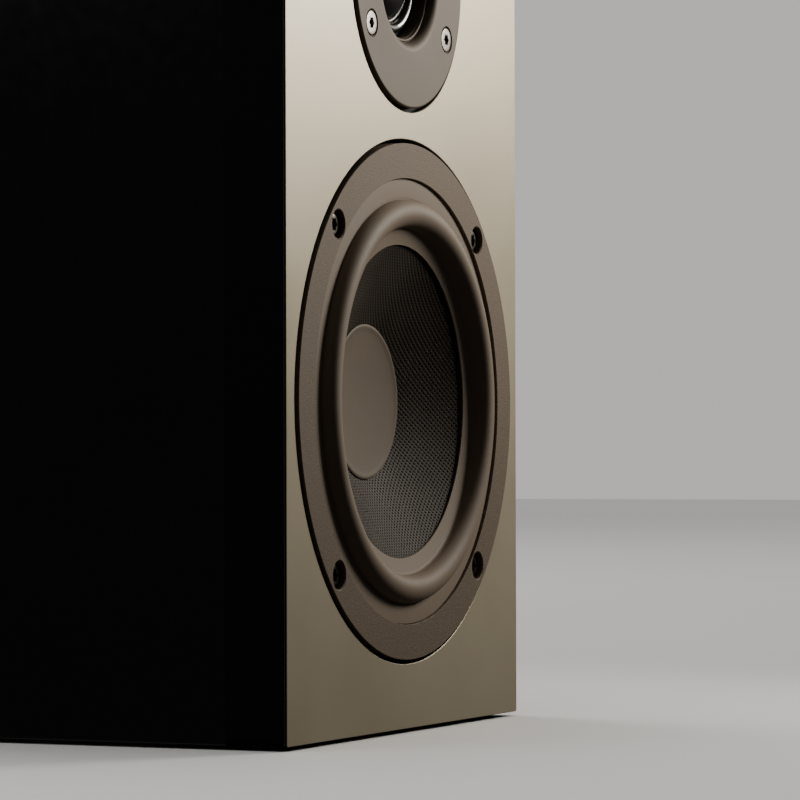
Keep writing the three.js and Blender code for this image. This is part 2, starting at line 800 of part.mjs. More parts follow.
const leads = {
  input_lead: [
    [0, cupBack - 4, 70],
    [0, cupBack - 9, 66],
    [4, cupBack - 14, 52],
    [10, cupBack - 18, 34],
    [12, cupBack - 28, 24],
    [12, cupBack - 34, boardTop + 2.6],
  ],
  woofer_lead: [
    [0, 134, boardTop + 2.6],
    [0, 122, boardTop + 4],
    [0, 100, 26],
    [0, 70, 30],
    [0, 50, 38],
    [0, 42.5, 44.2],
  ],
  tweeter_lead: [
    [54, 136, boardTop + 2.6],
    [56, 122, 26],
    [60, 104, 60],
    [60, 96, 120],
    [58, 92, 180],
    [50, 80, 216],
    [36, 60, 236],
    [20, 38, 246],
    [14, 31, 248],
  ],
};
for (const [name, route] of Object.entries(leads)) {
  add(speaker, name, makeLead(route, name === 'tweeter_lead' ? 24 : 12), blackPlastic);
}

// The group is moved so that the origin lies under the middle of the whole object.
const foremost = -woofer.rollProud;
const hindmost = screwSeat + cupScrew.headHeight;
speaker.position.y = -(foremost + hindmost) / 2;

export default speaker;
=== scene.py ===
"""A compact two-way loudspeaker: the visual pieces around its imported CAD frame."""

import math

import bmesh
import bpy
from mathutils import Matrix, Vector
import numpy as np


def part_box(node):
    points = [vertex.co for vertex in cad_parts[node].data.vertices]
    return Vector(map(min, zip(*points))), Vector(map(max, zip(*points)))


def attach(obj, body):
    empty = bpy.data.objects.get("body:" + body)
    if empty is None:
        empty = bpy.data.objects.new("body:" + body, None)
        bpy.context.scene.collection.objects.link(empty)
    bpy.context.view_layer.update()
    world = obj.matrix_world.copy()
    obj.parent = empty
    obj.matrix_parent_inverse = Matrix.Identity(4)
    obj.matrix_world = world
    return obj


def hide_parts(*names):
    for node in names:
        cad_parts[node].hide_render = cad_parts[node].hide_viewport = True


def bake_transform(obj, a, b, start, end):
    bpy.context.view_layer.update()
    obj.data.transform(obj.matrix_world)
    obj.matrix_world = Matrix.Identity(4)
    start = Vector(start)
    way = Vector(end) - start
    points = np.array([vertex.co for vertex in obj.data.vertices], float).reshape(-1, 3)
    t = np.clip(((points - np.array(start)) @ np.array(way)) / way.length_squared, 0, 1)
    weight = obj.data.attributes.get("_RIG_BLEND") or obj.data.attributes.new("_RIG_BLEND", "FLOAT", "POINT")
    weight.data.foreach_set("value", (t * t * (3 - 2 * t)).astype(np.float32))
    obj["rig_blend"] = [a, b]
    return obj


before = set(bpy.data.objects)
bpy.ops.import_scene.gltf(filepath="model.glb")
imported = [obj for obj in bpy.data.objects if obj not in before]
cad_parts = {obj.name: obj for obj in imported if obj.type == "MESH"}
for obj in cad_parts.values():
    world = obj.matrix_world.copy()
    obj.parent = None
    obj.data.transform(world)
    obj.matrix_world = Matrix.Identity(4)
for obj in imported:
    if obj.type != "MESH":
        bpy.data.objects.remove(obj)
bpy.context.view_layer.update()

MM = 0.001
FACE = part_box("front_facing")[0].y           # the cabinet's front face
FINE = 160                                   # sides of a large round piece
SMALL = 48                                   # sides of a small round piece


def corners(node):
    """The low and high corner of a CAD node in millimetres, as x, depth behind the front face, and z."""
    return [[at.x / MM, (at.y - FACE) / MM, at.z / MM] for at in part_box(node)]


def middle(node):
    return [(a + b) / 2 for a, b in zip(*corners(node))]


def extent(node):
    return [b - a for a, b in zip(*corners(node))]


def reach(node):
    """Front and back depth of a CAD node in millimetres."""
    return [corner[1] for corner in corners(node)]


def place(x, depth, z):
    """A point in metres from x, depth and z in millimetres."""
    return Vector((x * MM, FACE + depth * MM, z * MM))


WOOFER_Z, TWEETER_Z, PORT_Z, CUP_Z = (
    middle(node)[2] for node in ("woofer_frame", "tweeter_faceplate", "port_tube", "terminal_cup"))


# ---- Camera ----

VIEW_AZIMUTH = math.radians(-65.885)
VIEW_DISTANCE = 1.36766                      # from the middle of the front face
VIEW_HEIGHT = 0.095989                       # above the cabinet's underside
VIEW_YAW = math.radians(-0.122)
VIEW_PITCH = math.radians(0.721)
VIEW_ROLL = math.radians(-0.14)
LENS = 178.34


def make_camera():
    ahead = Vector((-math.sin(VIEW_AZIMUTH), math.cos(VIEW_AZIMUTH), 0))
    aside = Vector((math.cos(VIEW_AZIMUTH), math.sin(VIEW_AZIMUTH), 0))
    up = Vector((0, 0, 1))
    forward = ahead * math.cos(VIEW_YAW) + aside * math.sin(VIEW_YAW)
    right = aside * math.cos(VIEW_YAW) - ahead * math.sin(VIEW_YAW)
    tilted = forward * math.cos(VIEW_PITCH) + up * math.sin(VIEW_PITCH)
    above = up * math.cos(VIEW_PITCH) - forward * math.sin(VIEW_PITCH)
    level = right * math.cos(VIEW_ROLL) + above * math.sin(VIEW_ROLL)
    upright = above * math.cos(VIEW_ROLL) - right * math.sin(VIEW_ROLL)
    data = bpy.data.cameras.new("camera")
    data.lens = LENS
    data.sensor_width = 36
    data.clip_end = 100
    camera = bpy.data.objects.new("camera", data)
    bpy.context.scene.collection.objects.link(camera)
    turn = Matrix((level, upright, -tilted)).transposed().to_4x4()
    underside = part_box("front_facing")[0].z
    spot = Vector((0, FACE, underside + VIEW_HEIGHT)) - ahead * VIEW_DISTANCE
    camera.matrix_world = Matrix.Translation(spot) @ turn
    bpy.context.scene.camera = camera


make_camera()


# ---- Outlines ----

def arc(centre, radii, start, end, steps):
    """Points on an ellipse's arc; angles in degrees, 0 outwards, 90 to the rear."""
    points = []
    for i in range(steps + 1):
        angle = math.radians(start + (end - start) * i / steps)
        points.append((centre[0] + radii[0] * math.cos(angle), centre[1] + radii[1] * math.sin(angle)))
    return points


def eased(profile, size, steps=3):
    """The outline with each sharp corner rounded over about size. Ends on the axis stay as they are."""
    result = []
    for i, point in enumerate(profile):
        corner = Vector(point)
        back = Vector(profile[i - 1]) - corner
        on = Vector(profile[(i + 1) % len(profile)]) - corner
        if point[0] == 0 or min(back.length, on.length) < 1e-6 or back.angle(on) > math.radians(155):
            result.append(corner)
            continue
        cut = min(size, back.length * 0.45, on.length * 0.45)
        start = corner + back.normalized() * cut
        end = corner + on.normalized() * cut
        for k in range(steps + 1):
            t = k / steps
            result.append(start * (1 - t) ** 2 + corner * 2 * t * (1 - t) + end * t ** 2)
    return [tuple(point) for point in result]


def rounded_box(half_x, half_z, corner, x=0.0, z=0.0, steps=6):
    """An outline in X and Z, as a function of how far it is drawn in."""
    def outline(inset):
        radius = max(corner - inset, 0.01)
        points = []
        for k, (side_x, side_z) in enumerate(((1, 1), (-1, 1), (-1, -1), (1, -1))):
            for i in range(steps + 1):
                angle = math.pi / 2 * (k + i / steps)
                points.append((x + side_x * (half_x - inset - radius) + radius * math.cos(angle),
                               z + side_z * (half_z - inset - radius) + radius * math.sin(angle)))
        return points
    return outline


# ---- Meshes ----

def skin(bm, row, after):
    """Faces between two rings; a ring of one point is the tip of a fan."""
    count = max(len(row), len(after))
    for i in range(count):
        j = (i + 1) % count
        corners = (row[i % len(row)], row[j % len(row)], after[j % len(after)], after[i % len(after)])
        bm.faces.new(list(dict.fromkeys(corners)))


def loft(rings, wrap=False, bm=None):
    """A closed skin through rings of points. wrap joins the last ring to the first."""
    bm = bm or bmesh.new()
    rows = [[bm.verts.new(point) for point in ring] for ring in rings]
    for row, after in zip(rows, rows[1:] + rows[:1] if wrap else rows[1:]):
        skin(bm, row, after)
    if not wrap:
        for row in (rows[0], rows[-1]):
            if len(row) > 2:
                bm.faces.new(row)
    bmesh.ops.recalc_face_normals(bm, faces=bm.faces)
    return bm


def spun(profile, put, count):
    """A profile of (radius, along) spun by put(across, over, along). A radius may be a function of the angle."""
    rings = []
    for radius, along in profile:
        if radius == 0:
            rings.append([put(0, 0, along)])
            continue
        turns = [2 * math.pi * i / count for i in range(count)]
        sizes = [radius(angle) if callable(radius) else radius for angle in turns]
        rings.append([put(out * math.cos(angle), out * math.sin(angle), along) for out, angle in zip(sizes, turns)])
    return loft(rings, wrap=all(callable(radius) or radius > 0 for radius, _ in profile))


def lathe(profile, x=0.0, z=0.0, count=FINE):
    """A profile of (radius, depth) spun about the line along Y through (x, z)."""
    return spun(profile, lambda across, over, depth: place(x + across, depth, z + over), count)


def upright(profile, x, depth, floor, count=SMALL):
    """A profile of (radius, height) spun about the vertical line at (x, depth)."""
    return spun(profile, lambda across, over, height: place(x + across, depth + over, floor + height), count)


def lying(profile, x, depth, z):
    """A profile of (radius, along) spun about the line along X through (depth, z)."""
    return spun(profile, lambda across, over, along: place(x + along, depth + across, z + over), SMALL)


def slab(outline, front, back, ease, front_ease=None):
    """An outline carried along Y, with its front and back edges eased."""
    angles = [math.radians(angle) for angle in (0, 30, 60, 90)]
    rings = []
    for start, direction, size in ((front, 1, front_ease or ease), (back, -1, ease)):
        edge = [(size * (1 - math.sin(a)), size * (1 - math.cos(a))) for a in angles]
        made = [[place(x, start + direction * along, z) for x, z in outline(inset)] for inset, along in edge]
        rings += made[::direction]
    return loft(rings)


def upright(profile, x, depth, floor, count=SMALL, bm=None):
    """A profile of (radius, height) spun about the vertical line at (x, depth)."""
    rings = []
    for radius, height in profile:
        if radius == 0:
            rings.append([place(x, depth, floor + height)])
            continue
        turns = [2 * math.pi * i / count for i in range(count)]
        rings.append([place(x + radius * math.cos(a), depth + radius * math.sin(a), floor + height)
                      for a in turns])
    return loft(rings, wrap=all(radius > 0 for radius, _ in profile), bm=bm)


def lying(profile, x, depth, z, count=SMALL, bm=None):
    """A profile of (radius, along) spun about the line along X through (depth, z)."""
    rings = []
    for radius, along in profile:
        if radius == 0:
            rings.append([place(x + along, depth, z)])
            continue
        turns = [2 * math.pi * i / count for i in range(count)]
        rings.append([place(x + along, depth + radius * math.cos(a), z + radius * math.sin(a))
                      for a in turns])
    return loft(rings, wrap=all(radius > 0 for radius, _ in profile), bm=bm)


def brick(low, high, ease, bm=None):
    """A block between two corners in millimetres, with all its edges eased."""
    bm = bm or bmesh.new()
    half = [(b - a) / 2 * MM for a, b in zip(low, high)]
    centre = place(*[(a + b) / 2 for a, b in zip(low, high)])
    made = bmesh.ops.create_cube(bm, size=2, matrix=Matrix.Translation(centre) @ Matrix.Diagonal(half + [1]))
    edges = list({edge for vert in made["verts"] for edge in vert.link_edges})
    bmesh.ops.bevel(bm, geom=edges, offset=ease * MM, segments=3, profile=0.5, affect="EDGES")
    return bm


def tube(route, radius, sides, bm):
    """A round wire along a list of points in metres."""
    rings = []
    turn_x = None
    for i, point in enumerate(route):
        ahead = (route[min(i + 1, len(route) - 1)] - route[max(i - 1, 0)]).normalized()
        if turn_x is None:
            turn_x = ahead.orthogonal().normalized()
        turn_x = (turn_x - ahead * turn_x.dot(ahead)).normalized()
        turn_z = ahead.cross(turn_x)
        angles = [2 * math.pi * k / sides for k in range(sides)]
        rings.append([point + (turn_x * math.cos(a) + turn_z * math.sin(a)) * radius * MM for a in angles])
    loft(rings, bm=bm)


def smooth_route(points, steps):
    """A Catmull-Rom curve through points, as points in metres."""
    path = [points[0]] + list(points) + [points[-1]]
    made = []
    for i in range(1, len(path) - 2):
        a, b, c, d = (Vector(path[i + k]) for k in (-1, 0, 1, 2))
        for k in range(steps):
            t = k / steps
            made.append(0.5 * (2 * b + (c - a) * t + (2 * a - 5 * b + 4 * c - d) * t ** 2
                               + (3 * b - a - 3 * c + d) * t ** 3))
    made.append(Vector(path[-2]))
    return [place(*point) for point in made]


def to_object(bm, name):
    mesh = bpy.data.meshes.new(name)
    bm.to_mesh(mesh)
    bm.free()
    made = bpy.data.objects.new(name, mesh)
    bpy.context.scene.collection.objects.link(made)
    return made


def carve(target, cutters, operation="DIFFERENCE"):
    """Cuts a list of bmesh tools out of an object's mesh, or joins them to it."""
    for tool_mesh in cutters:
        tool = to_object(tool_mesh, "tool")
        modifier = target.modifiers.new("cut", "BOOLEAN")
        modifier.operation = operation
        modifier.solver = "EXACT"
        modifier.object = tool
        graph = bpy.context.evaluated_depsgraph_get()
        carved = bpy.data.meshes.new_from_object(target.evaluated_get(graph))
        target.modifiers.clear()
        old, target.data = target.data, carved
        bpy.data.meshes.remove(old)
        spent = tool.data
        bpy.data.objects.remove(tool)
        bpy.data.meshes.remove(spent)


def finished(shape, name, slot, node, body="cabinet", sharp=35):
    """Names, shades, dresses and mounts a piece that stands for its CAD node."""
    piece = shape if isinstance(shape, bpy.types.Object) else to_object(shape, name)
    piece.name = name
    piece.data.name = name
    piece.data.shade_smooth()
    piece.data.set_sharp_from_angle(angle=math.radians(sharp))
    weighting = piece.modifiers.new("even_shading", "WEIGHTED_NORMAL")
    weighting.keep_sharp = True
    piece.data.materials.clear()
    piece.data.materials.append(FINISHES[slot])
    if body:
        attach(piece, body)
    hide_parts(node)
    return piece


# ---- Materials ----

class Finish:
    """A Principled material whose detail comes from nodes in object space."""

    def __init__(self, name):
        self.material = bpy.data.materials.new(name)
        self.material.use_nodes = True
        self.tree = self.material.node_tree
        self.tree.nodes.clear()
        output = self.tree.nodes.new("ShaderNodeOutputMaterial")
        self.shader = self.tree.nodes.new("ShaderNodeBsdfPrincipled")
        self.tree.links.new(self.shader.outputs["BSDF"], output.inputs["Surface"])
        self.place = self.tree.nodes.new("ShaderNodeTexCoord").outputs["Object"]
        self.relief = None

    def put(self, socket, value):
        if isinstance(value, bpy.types.NodeSocket):
            self.tree.links.new(value, socket)
        else:
            socket.default_value = value

    def set(self, **values):
        """Sets or links the shader's sockets, such as Base_Color or Coat_Weight."""
        for name, value in values.items():
            self.put(self.shader.inputs[name.replace("_", " ")], value)

    def math(self, operation, *values):
        node = self.tree.nodes.new("ShaderNodeMath")
        node.operation = operation
        for socket, value in zip(node.inputs, values):
            self.put(socket, value)
        return node.outputs[0]

    def stretched(self, x, y, z):
        node = self.tree.nodes.new("ShaderNodeVectorMath")
        node.operation = "MULTIPLY"
        self.put(node.inputs[0], self.place)
        node.inputs[1].default_value = (x, y, z)
        return node.outputs[0]

    def noise(self, size, detail=3.0, stretch=(1, 1, 1), rough=0.55):
        """Noise whose lumps are about size millimetres."""
        node = self.tree.nodes.new("ShaderNodeTexNoise")
        node.inputs["Scale"].default_value = 1 / (size * MM)
        node.inputs["Detail"].default_value = detail
        node.inputs["Roughness"].default_value = rough
        self.put(node.inputs["Vector"], self.place if stretch == (1, 1, 1) else self.stretched(*stretch))
        return node.outputs["Fac"]

    def cells(self, size, feature="F1"):
        node = self.tree.nodes.new("ShaderNodeTexVoronoi")
        node.feature = feature
        node.inputs["Scale"].default_value = 1 / (size * MM)
        self.put(node.inputs["Vector"], self.place)
        return node.outputs["Distance"]

    def spread(self, value, low, high, to_low, to_high):
        node = self.tree.nodes.new("ShaderNodeMapRange")
        for socket, number in zip(node.inputs, (value, low, high, to_low, to_high)):
            self.put(socket, number)
        return node.outputs["Result"]

    def mix(self, share, first, second, kind="MIX"):
        node = self.tree.nodes.new("ShaderNodeMix")
        node.data_type = "RGBA"
        node.blend_type = kind
        self.put(node.inputs["Factor"], share)
        colour_sockets = [socket for socket in node.inputs if socket.type == "RGBA"]
        for socket, value in zip(colour_sockets, (first, second)):
            self.put(socket, value if isinstance(value, bpy.types.NodeSocket) else (*value, 1))
        return [socket for socket in node.outputs if socket.type == "RGBA"][0]

    def bump(self, height, depth, strength=1.0):
        """Raises the surface by height, from 0 to 1, times depth in millimetres."""
        node = self.tree.nodes.new("ShaderNodeBump")
        node.inputs["Strength"].default_value = strength
        node.inputs["Distance"].default_value = depth * MM
        self.put(node.inputs["Height"], height)
        if self.relief:
            self.put(node.inputs["Normal"], self.relief)
        self.relief = node.outputs["Normal"]
        self.put(self.shader.inputs["Normal"], self.relief)

    def axis(self, name, kind="Object"):
        """One coordinate of the object's own space, or of its surface's Normal."""
        node = self.tree.nodes.new("ShaderNodeSeparateXYZ")
        self.put(node.inputs[0], self.place.node.outputs[kind])
        return node.outputs[name]


def grained(name, dark, light, grain, roughness, depth, patch=30, metal=0.0, stretch=(1, 1, 1)):
    """The common build of a finish: patches and a fine grain in colour, gloss and relief."""
    finish = Finish(name)
    fine = finish.noise(grain, 2, stretch)
    broad = finish.noise(patch, 3)
    share = finish.math("ADD", finish.math("MULTIPLY", fine, 0.5), finish.math("MULTIPLY", broad, 0.5))
    finish.set(
        Base_Color=finish.mix(finish.spread(share, 0.35, 0.65, 0, 1), dark, light),
        Roughness=finish.spread(share, 0.35, 0.65, roughness[0], roughness[1]),
        Metallic=metal,
    )
    finish.bump(fine, depth)
    return finish


def champagne_satin():
    """Satin metallic lacquer with a fine flake; faces turned away from the front, the sheet's edges and hole walls,
    get painted shade, near black.
    """
    finish = grained("champagne_satin", (0.485, 0.425, 0.315), (0.535, 0.47, 0.35), 0.25, (0.38, 0.46), 0.004,
                     60, 0.3)
    finish.bump(finish.cells(0.18), 0.003)
    # Painted shade: where the surface normal turns away from the front, on the sheet's edges and hole walls, the
    # colour goes near black.
    face_not_painted_shade = finish.spread(finish.math("ABSOLUTE", finish.axis("Y", "Normal")), 0.3, 0.5, 0, 1)
    colour = finish.shader.inputs["Base Color"].links[0].from_socket
    finish.set(Base_Color=finish.mix(face_not_painted_shade, (0.004, 0.004, 0.004), colour), Specular_IOR_Level=0.3)
    return finish


def cast_frame():
    """Sand-textured powder coat."""
    finish = grained("cast_frame", (0.100, 0.074, 0.052), (0.240, 0.186, 0.138), 0.42, (0.6, 0.75), 0.07, 0.6, 0.15)
    finish.bump(finish.cells(0.55, "SMOOTH_F1"), 0.06)
    finish.set(Specular_IOR_Level=0.3)
    return finish


WEAVE = 1.35                                 # pitch of the cone's threads, in millimetres
WEAVE_SHADED_GAP = (0.5, 0.8)                      # thread height where the gap between threads starts and where it ends; the gap takes painted shade


def woven(name, pitch, thread_dark, thread_light, hole, roughness, depth):
    """An open weave of threads on both diagonals of XZ; the gap in each cell is coloured dark, as painted shade in
    the recess between threads.
    """
    finish = Finish(name)
    turn = math.pi / (pitch * MM * math.sqrt(2))
    rising, falling = (
        finish.math("ABSOLUTE", finish.math("COSINE", finish.math("MULTIPLY", finish.math(
            operation, finish.axis("X"), finish.axis("Z")), turn)))
        for operation in ("ADD", "SUBTRACT"))
    thread = finish.math("MAXIMUM", rising, falling)
    knot = finish.math("MULTIPLY", rising, falling)
    strands = finish.noise(pitch * 0.14, 2)
    worn = finish.noise(14, 3)
    tone = finish.mix(finish.spread(worn, 0.35, 0.65, 0, 1), thread_dark, thread_light)
    tone = finish.mix(finish.spread(strands, 0.3, 0.7, 0, 0.5), tone, thread_dark)
    solid = finish.spread(thread, *WEAVE_SHADED_GAP, 0, 1)
    finish.set(
        # Painted shade: the gaps between threads take the dark colour passed in as hole.
        Base_Color=finish.mix(solid, hole, tone),
        Roughness=finish.spread(solid, 0, 1, roughness[1], roughness[0]),
        Specular_IOR_Level=0.15,
    )
    finish.bump(finish.math("ADD", solid, finish.math("MULTIPLY", knot, 0.4)), depth)
    finish.bump(strands, depth * 0.08)
    return finish


def woven_fibre():
    # The third colour is painted shade for the gaps between threads.
    return woven("woven_fibre", WEAVE, (0.044, 0.033, 0.024), (0.066, 0.051, 0.038), (0.0015, 0.0012, 0.001),
                 (0.6, 0.9), 0.14)


def dome_cloth():
    # The third colour is painted shade for the gaps between threads.
    finish = woven("dome_cloth", 0.3, (0.008, 0.008, 0.009), (0.012, 0.012, 0.014), (0.003, 0.003, 0.003),
                   (0.3, 0.45), 0.01)
    finish.set(Coat_Weight=1.0, Coat_Roughness=0.08)
    return finish


def spider_cloth():
    # The third colour is painted shade for the gaps between threads.
    return woven("spider_cloth", 0.7, (0.42, 0.22, 0.06), (0.60, 0.36, 0.12), (0.10, 0.05, 0.02), (0.6, 0.9), 0.15)


def raw_board():
    finish = grained("raw_board", (0.33, 0.21, 0.12), (0.50, 0.36, 0.22), 0.9, (0.75, 0.9), 0.08, 20)
    finish.bump(finish.noise(0.5, 4, (1, 0.12, 1)), 0.05)
    return finish


def gasket_foam():
    finish = grained("gasket_foam", (0.012, 0.012, 0.012), (0.03, 0.03, 0.03), 0.4, (0.9, 1.0), 0.08, 10)
    finish.bump(finish.cells(0.5), 0.15)
    return finish


def damping_wool():
    """Loose fibres pressed into a mat."""
    finish = grained("damping_wool", (0.46, 0.44, 0.40), (0.70, 0.68, 0.63), 2.2, (0.95, 1.0), 0.5, 25)
    for stretch in ((1, 0.08, 0.3), (0.3, 0.2, 1), (0.2, 1, 0.1)):
        finish.bump(finish.noise(0.5, 2, stretch), 0.35, 0.6)
    finish.set(Sheen_Weight=0.4)
    return finish


def black_plastic():
    finish = grained("black_plastic", (0.012, 0.012, 0.0125), (0.018, 0.018, 0.0185), 0.35, (0.42, 0.52), 0.02, 20)
    finish.bump(finish.cells(0.5), 0.02)
    return finish


def turned_metal(name, dark, light, roughness):
    """Bare metal with the fine rings of a lathe cut and a few stains."""
    finish = grained(name, dark, light, 0.12, roughness, 0.002, 7, 1.0, (0.25, 1, 0.25))
    finish.bump(finish.noise(0.25, 1, (0.1, 1, 0.1)), 0.006)
    return finish


def gilt_brass():
    return turned_metal("gilt_brass", (0.72, 0.48, 0.17), (0.86, 0.62, 0.26), (0.16, 0.28))


def screw_steel():
    return turned_metal("screw_steel", (0.075, 0.068, 0.06), (0.16, 0.148, 0.135), (0.24, 0.38))


def motor_steel():
    return turned_metal("motor_steel", (0.38, 0.38, 0.37), (0.58, 0.57, 0.54), (0.28, 0.45))


def ferrite():
    finish = grained("ferrite", (0.03, 0.03, 0.032), (0.065, 0.065, 0.068), 0.5, (0.55, 0.8), 0.03, 12, 0.2)
    finish.bump(finish.noise(0.5, 2, (0.1, 1, 0.1)), 0.02)
    return finish


def circuit_board():
    """Green mask over copper tracks."""
    finish = Finish("circuit_board")
    node = finish.tree.nodes.new("ShaderNodeTexVoronoi")
    node.distance = "MANHATTAN"
    node.inputs["Scale"].default_value = 1 / (11 * MM)
    finish.put(node.inputs["Vector"], finish.stretched(1, 1, 0))
    track = finish.spread(finish.math("PINGPONG", node.outputs["Distance"], 0.16), 0.05, 0.07, 0, 1)
    grain = finish.noise(1.2, 3)
    mask = finish.mix(track, (0.035, 0.115, 0.03), (0.06, 0.19, 0.05))
    finish.set(
        Base_Color=finish.mix(finish.spread(grain, 0.3, 0.7, 0, 0.35), mask, (0.03, 0.09, 0.03)),
        Roughness=finish.spread(grain, 0.3, 0.7, 0.25, 0.4),
        Coat_Weight=0.3,
    )
    finish.bump(track, 0.04)
    return finish


MAKERS = [
    champagne_satin, cast_frame, woven_fibre, dome_cloth, spider_cloth, raw_board, gasket_foam, damping_wool,
    black_plastic, gilt_brass, screw_steel, motor_steel, ferrite, circuit_board,
]

# Finishes that need only the common build: what grained() takes, then the shader's other sockets.
PLAIN = {
    "black_lacquer": (((0.0035, 0.0035, 0.0037), (0.0055, 0.0055, 0.006), 6, (0.10, 0.16), 0.004, 90),
                      {"Coat_Weight": 1.0, "Coat_Roughness": 0.03}),
    "satin_plate": (((0.118, 0.090, 0.065), (0.138, 0.107, 0.079), 0.2, (0.55, 0.62), 0.012, 30, 0.1),
                    {"Specular_IOR_Level": 0.25}),
    "surround_rubber": (((0.225, 0.173, 0.127), (0.260, 0.203, 0.152), 0.35, (0.58, 0.66), 0.010, 25),
                        {"Specular_IOR_Level": 0.3}),
    "cap_paper": (((0.150, 0.114, 0.082), (0.172, 0.132, 0.096), 0.3, (0.6, 0.7), 0.010, 16),
                  {"Specular_IOR_Level": 0.25}),
    "black_board": (((0.0035, 0.0035, 0.0036), (0.0065, 0.0065, 0.0066), 0.8, (0.55, 0.7), 0.02, 50),
                    {"Specular_IOR_Level": 0.15}),
    "foot_rubber": (((0.02, 0.02, 0.02), (0.032, 0.032, 0.032), 0.5, (0.65, 0.8), 0.03, 8), {}),
    "red_plastic": (((0.36, 0.008, 0.008), (0.50, 0.014, 0.012), 0.8, (0.16, 0.24), 0.006, 6),
                    {"Subsurface_Weight": 0.25, "Subsurface_Radius": (0.004, 0.0008, 0.0006), "Coat_Weight": 0.5}),
    "copper_wire": (((0.42, 0.14, 0.045), (0.66, 0.26, 0.10), 0.8, (0.2, 0.32), 0.01, 9, 1.0),
                    {"Coat_Weight": 0.6, "Coat_Roughness": 0.1}),
    "capacitor_film": (((0.62, 0.55, 0.40), (0.74, 0.68, 0.54), 1.5, (0.2, 0.34), 0.03, 14, 0.0, (0.15, 1, 1)),
                       {"Coat_Weight": 0.5}),
    "resistor_ceramic": (((0.66, 0.63, 0.56), (0.80, 0.78, 0.72), 0.6, (0.7, 0.85), 0.05, 8), {}),
    "lead_jacket": (((0.012, 0.012, 0.012), (0.02, 0.02, 0.02), 0.6, (0.45, 0.6), 0.01, 10), {}),
}

FINISHES = {maker.__name__: maker().material for maker in MAKERS}
for slot_name, (build, sockets) in PLAIN.items():
    plain = grained(slot_name, *build)
    plain.set(**sockets)
    FINISHES[slot_name] = plain.material


# ---- Cabinet ----

HALF_WIDTH = extent("front_facing")[0] / 2
HALF_HEIGHT = extent("front_facing")[2] / 2
MIDDLE_Z = middle("front_facing")[2]
REAR = reach("side_panel_left")[1]
FACING_BACK = reach("front_facing")[1]
BAFFLE_BACK = reach("front_baffle")[1]
WALL = extent("side_panel_left")[0]
CORNER = 1.6                                 # rounding along the cabinet's long edges
JOINT = 0.15                                 # gap from the baffle's nominal back to the carcass
JOINT_EASE = 0.03
WOOFER_REBATE = 90.5
TWEETER_REBATE = 46.15
THROUGH = 30                                 # depth that clears the baffle


def hole(radius, front, back, x=0.0, z=0.0, chamfer=0.4, count=FINE):
    """A tool that bores a round hole with a small chamfer at its front."""
    wide = radius + chamfer + 1
    profile = [(0, front - 1), (wide, front - 1), (radius, front + chamfer), (radius, back), (0, back)]
    return lathe(profile, x, z, count)


def make_facing():
    outline = rounded_box(HALF_WIDTH, HALF_HEIGHT, 0.8, 0, MIDDLE_Z)
    sheet = to_object(slab(outline, 0, FACING_BACK, 0.25), "front_facing_sheet")
    carve(sheet, [
        hole(WOOFER_REBATE, 0, 3, 0, WOOFER_Z, 0.2),
        hole(TWEETER_REBATE, 0, 3, 0, TWEETER_Z, 0.2),
    ])
    finished(sheet, "front_facing_sheet", "champagne_satin", "front_facing")


def make_baffle():
    outline = rounded_box(HALF_WIDTH, HALF_HEIGHT, CORNER, 0, MIDDLE_Z)
    board = to_object(slab(outline, FACING_BACK + 0.02, BAFFLE_BACK + JOINT, JOINT_EASE), "baffle_board")
    tools = [
        hole(WOOFER_REBATE, 0, 8.45, 0, WOOFER_Z),
        hole(79, 0, THROUGH, 0, WOOFER_Z),
        hole(TWEETER_REBATE, 0, 3.3, 0, TWEETER_Z),
        hole(33.5, 0, THROUGH, 0, TWEETER_Z),
    ]
    tools += [hole(2.7, 0, 20.6, x, WOOFER_Z + z, 0.2, 24) for x, z in WOOFER_SCREWS]
    tools += [hole(2.4, 0, 18.6, x, TWEETER_Z + z, 0.2, 24) for x, z in TWEETER_SCREWS]
    carve(board, tools)
    finished(board, "baffle_board", "black_board", "front_baffle")


def mitred(k, steps=4):
    """One of the four panels round the cabinet, from mitre to mitre, counted from the bottom."""
    def outline(inset):
        out = [(-1, -1), (1, -1), (1, 1), (-1, 1)]
        ends = [Vector((sx * (HALF_WIDTH - inset), MIDDLE_Z + sz * (HALF_HEIGHT - inset))) for sx, sz in out]
        a, b = ends[k], ends[(k + 1) % 4]
        along = (b - a).normalized()
        outward = Vector((along.y, -along.x))
        radius = CORNER - min(inset, CORNER - 0.2)
        points = []
        for corner, side in ((a, -1), (b, 1)):
            centre = corner - along * side * radius - outward * radius
            for i in range(steps + 1):
                turn = math.radians(45 * (i / steps if side > 0 else 1 - i / steps))
                points.append(centre + (outward * math.cos(turn) + along * side * math.sin(turn)) * radius)
        inner = WALL - inset
        points += [b - along * inner - outward * inner, a + along * inner - outward * inner]
        return [tuple(point) for point in points]
    return outline


def make_carcass():
    for k, side in enumerate(("bottom_panel", "side_panel_right", "top_panel", "side_panel_left")):
        panel = slab(mitred(k), BAFFLE_BACK + JOINT, REAR, 0.8, JOINT_EASE)
        finished(panel, f"{side}_board", "black_lacquer", side, sharp=50)
    finished(brick(*corners("cross_brace"), 1.0), "cross_brace_bar", "raw_board", "cross_brace")


def make_rear_panel():
    width, _, height = extent("rear_panel")
    front, back = reach("rear_panel")
    outline = rounded_box(width / 2, height / 2, 0.6, 0, middle("rear_panel")[2])
    board = to_object(slab(outline, front, back, 0.6), "rear_board")
    cup = rounded_box(42.8, 27.8, 1, 0, CUP_Z)
    tools = [lathe([(0, front - 5), (29, front - 5), (29, back + 5), (0, back + 5)], 0, PORT_Z),
             slab(cup, front - 5, back + 5, 0.5)]
    carve(board, tools)
    finished(board, "rear_board", "black_board", "rear_panel")


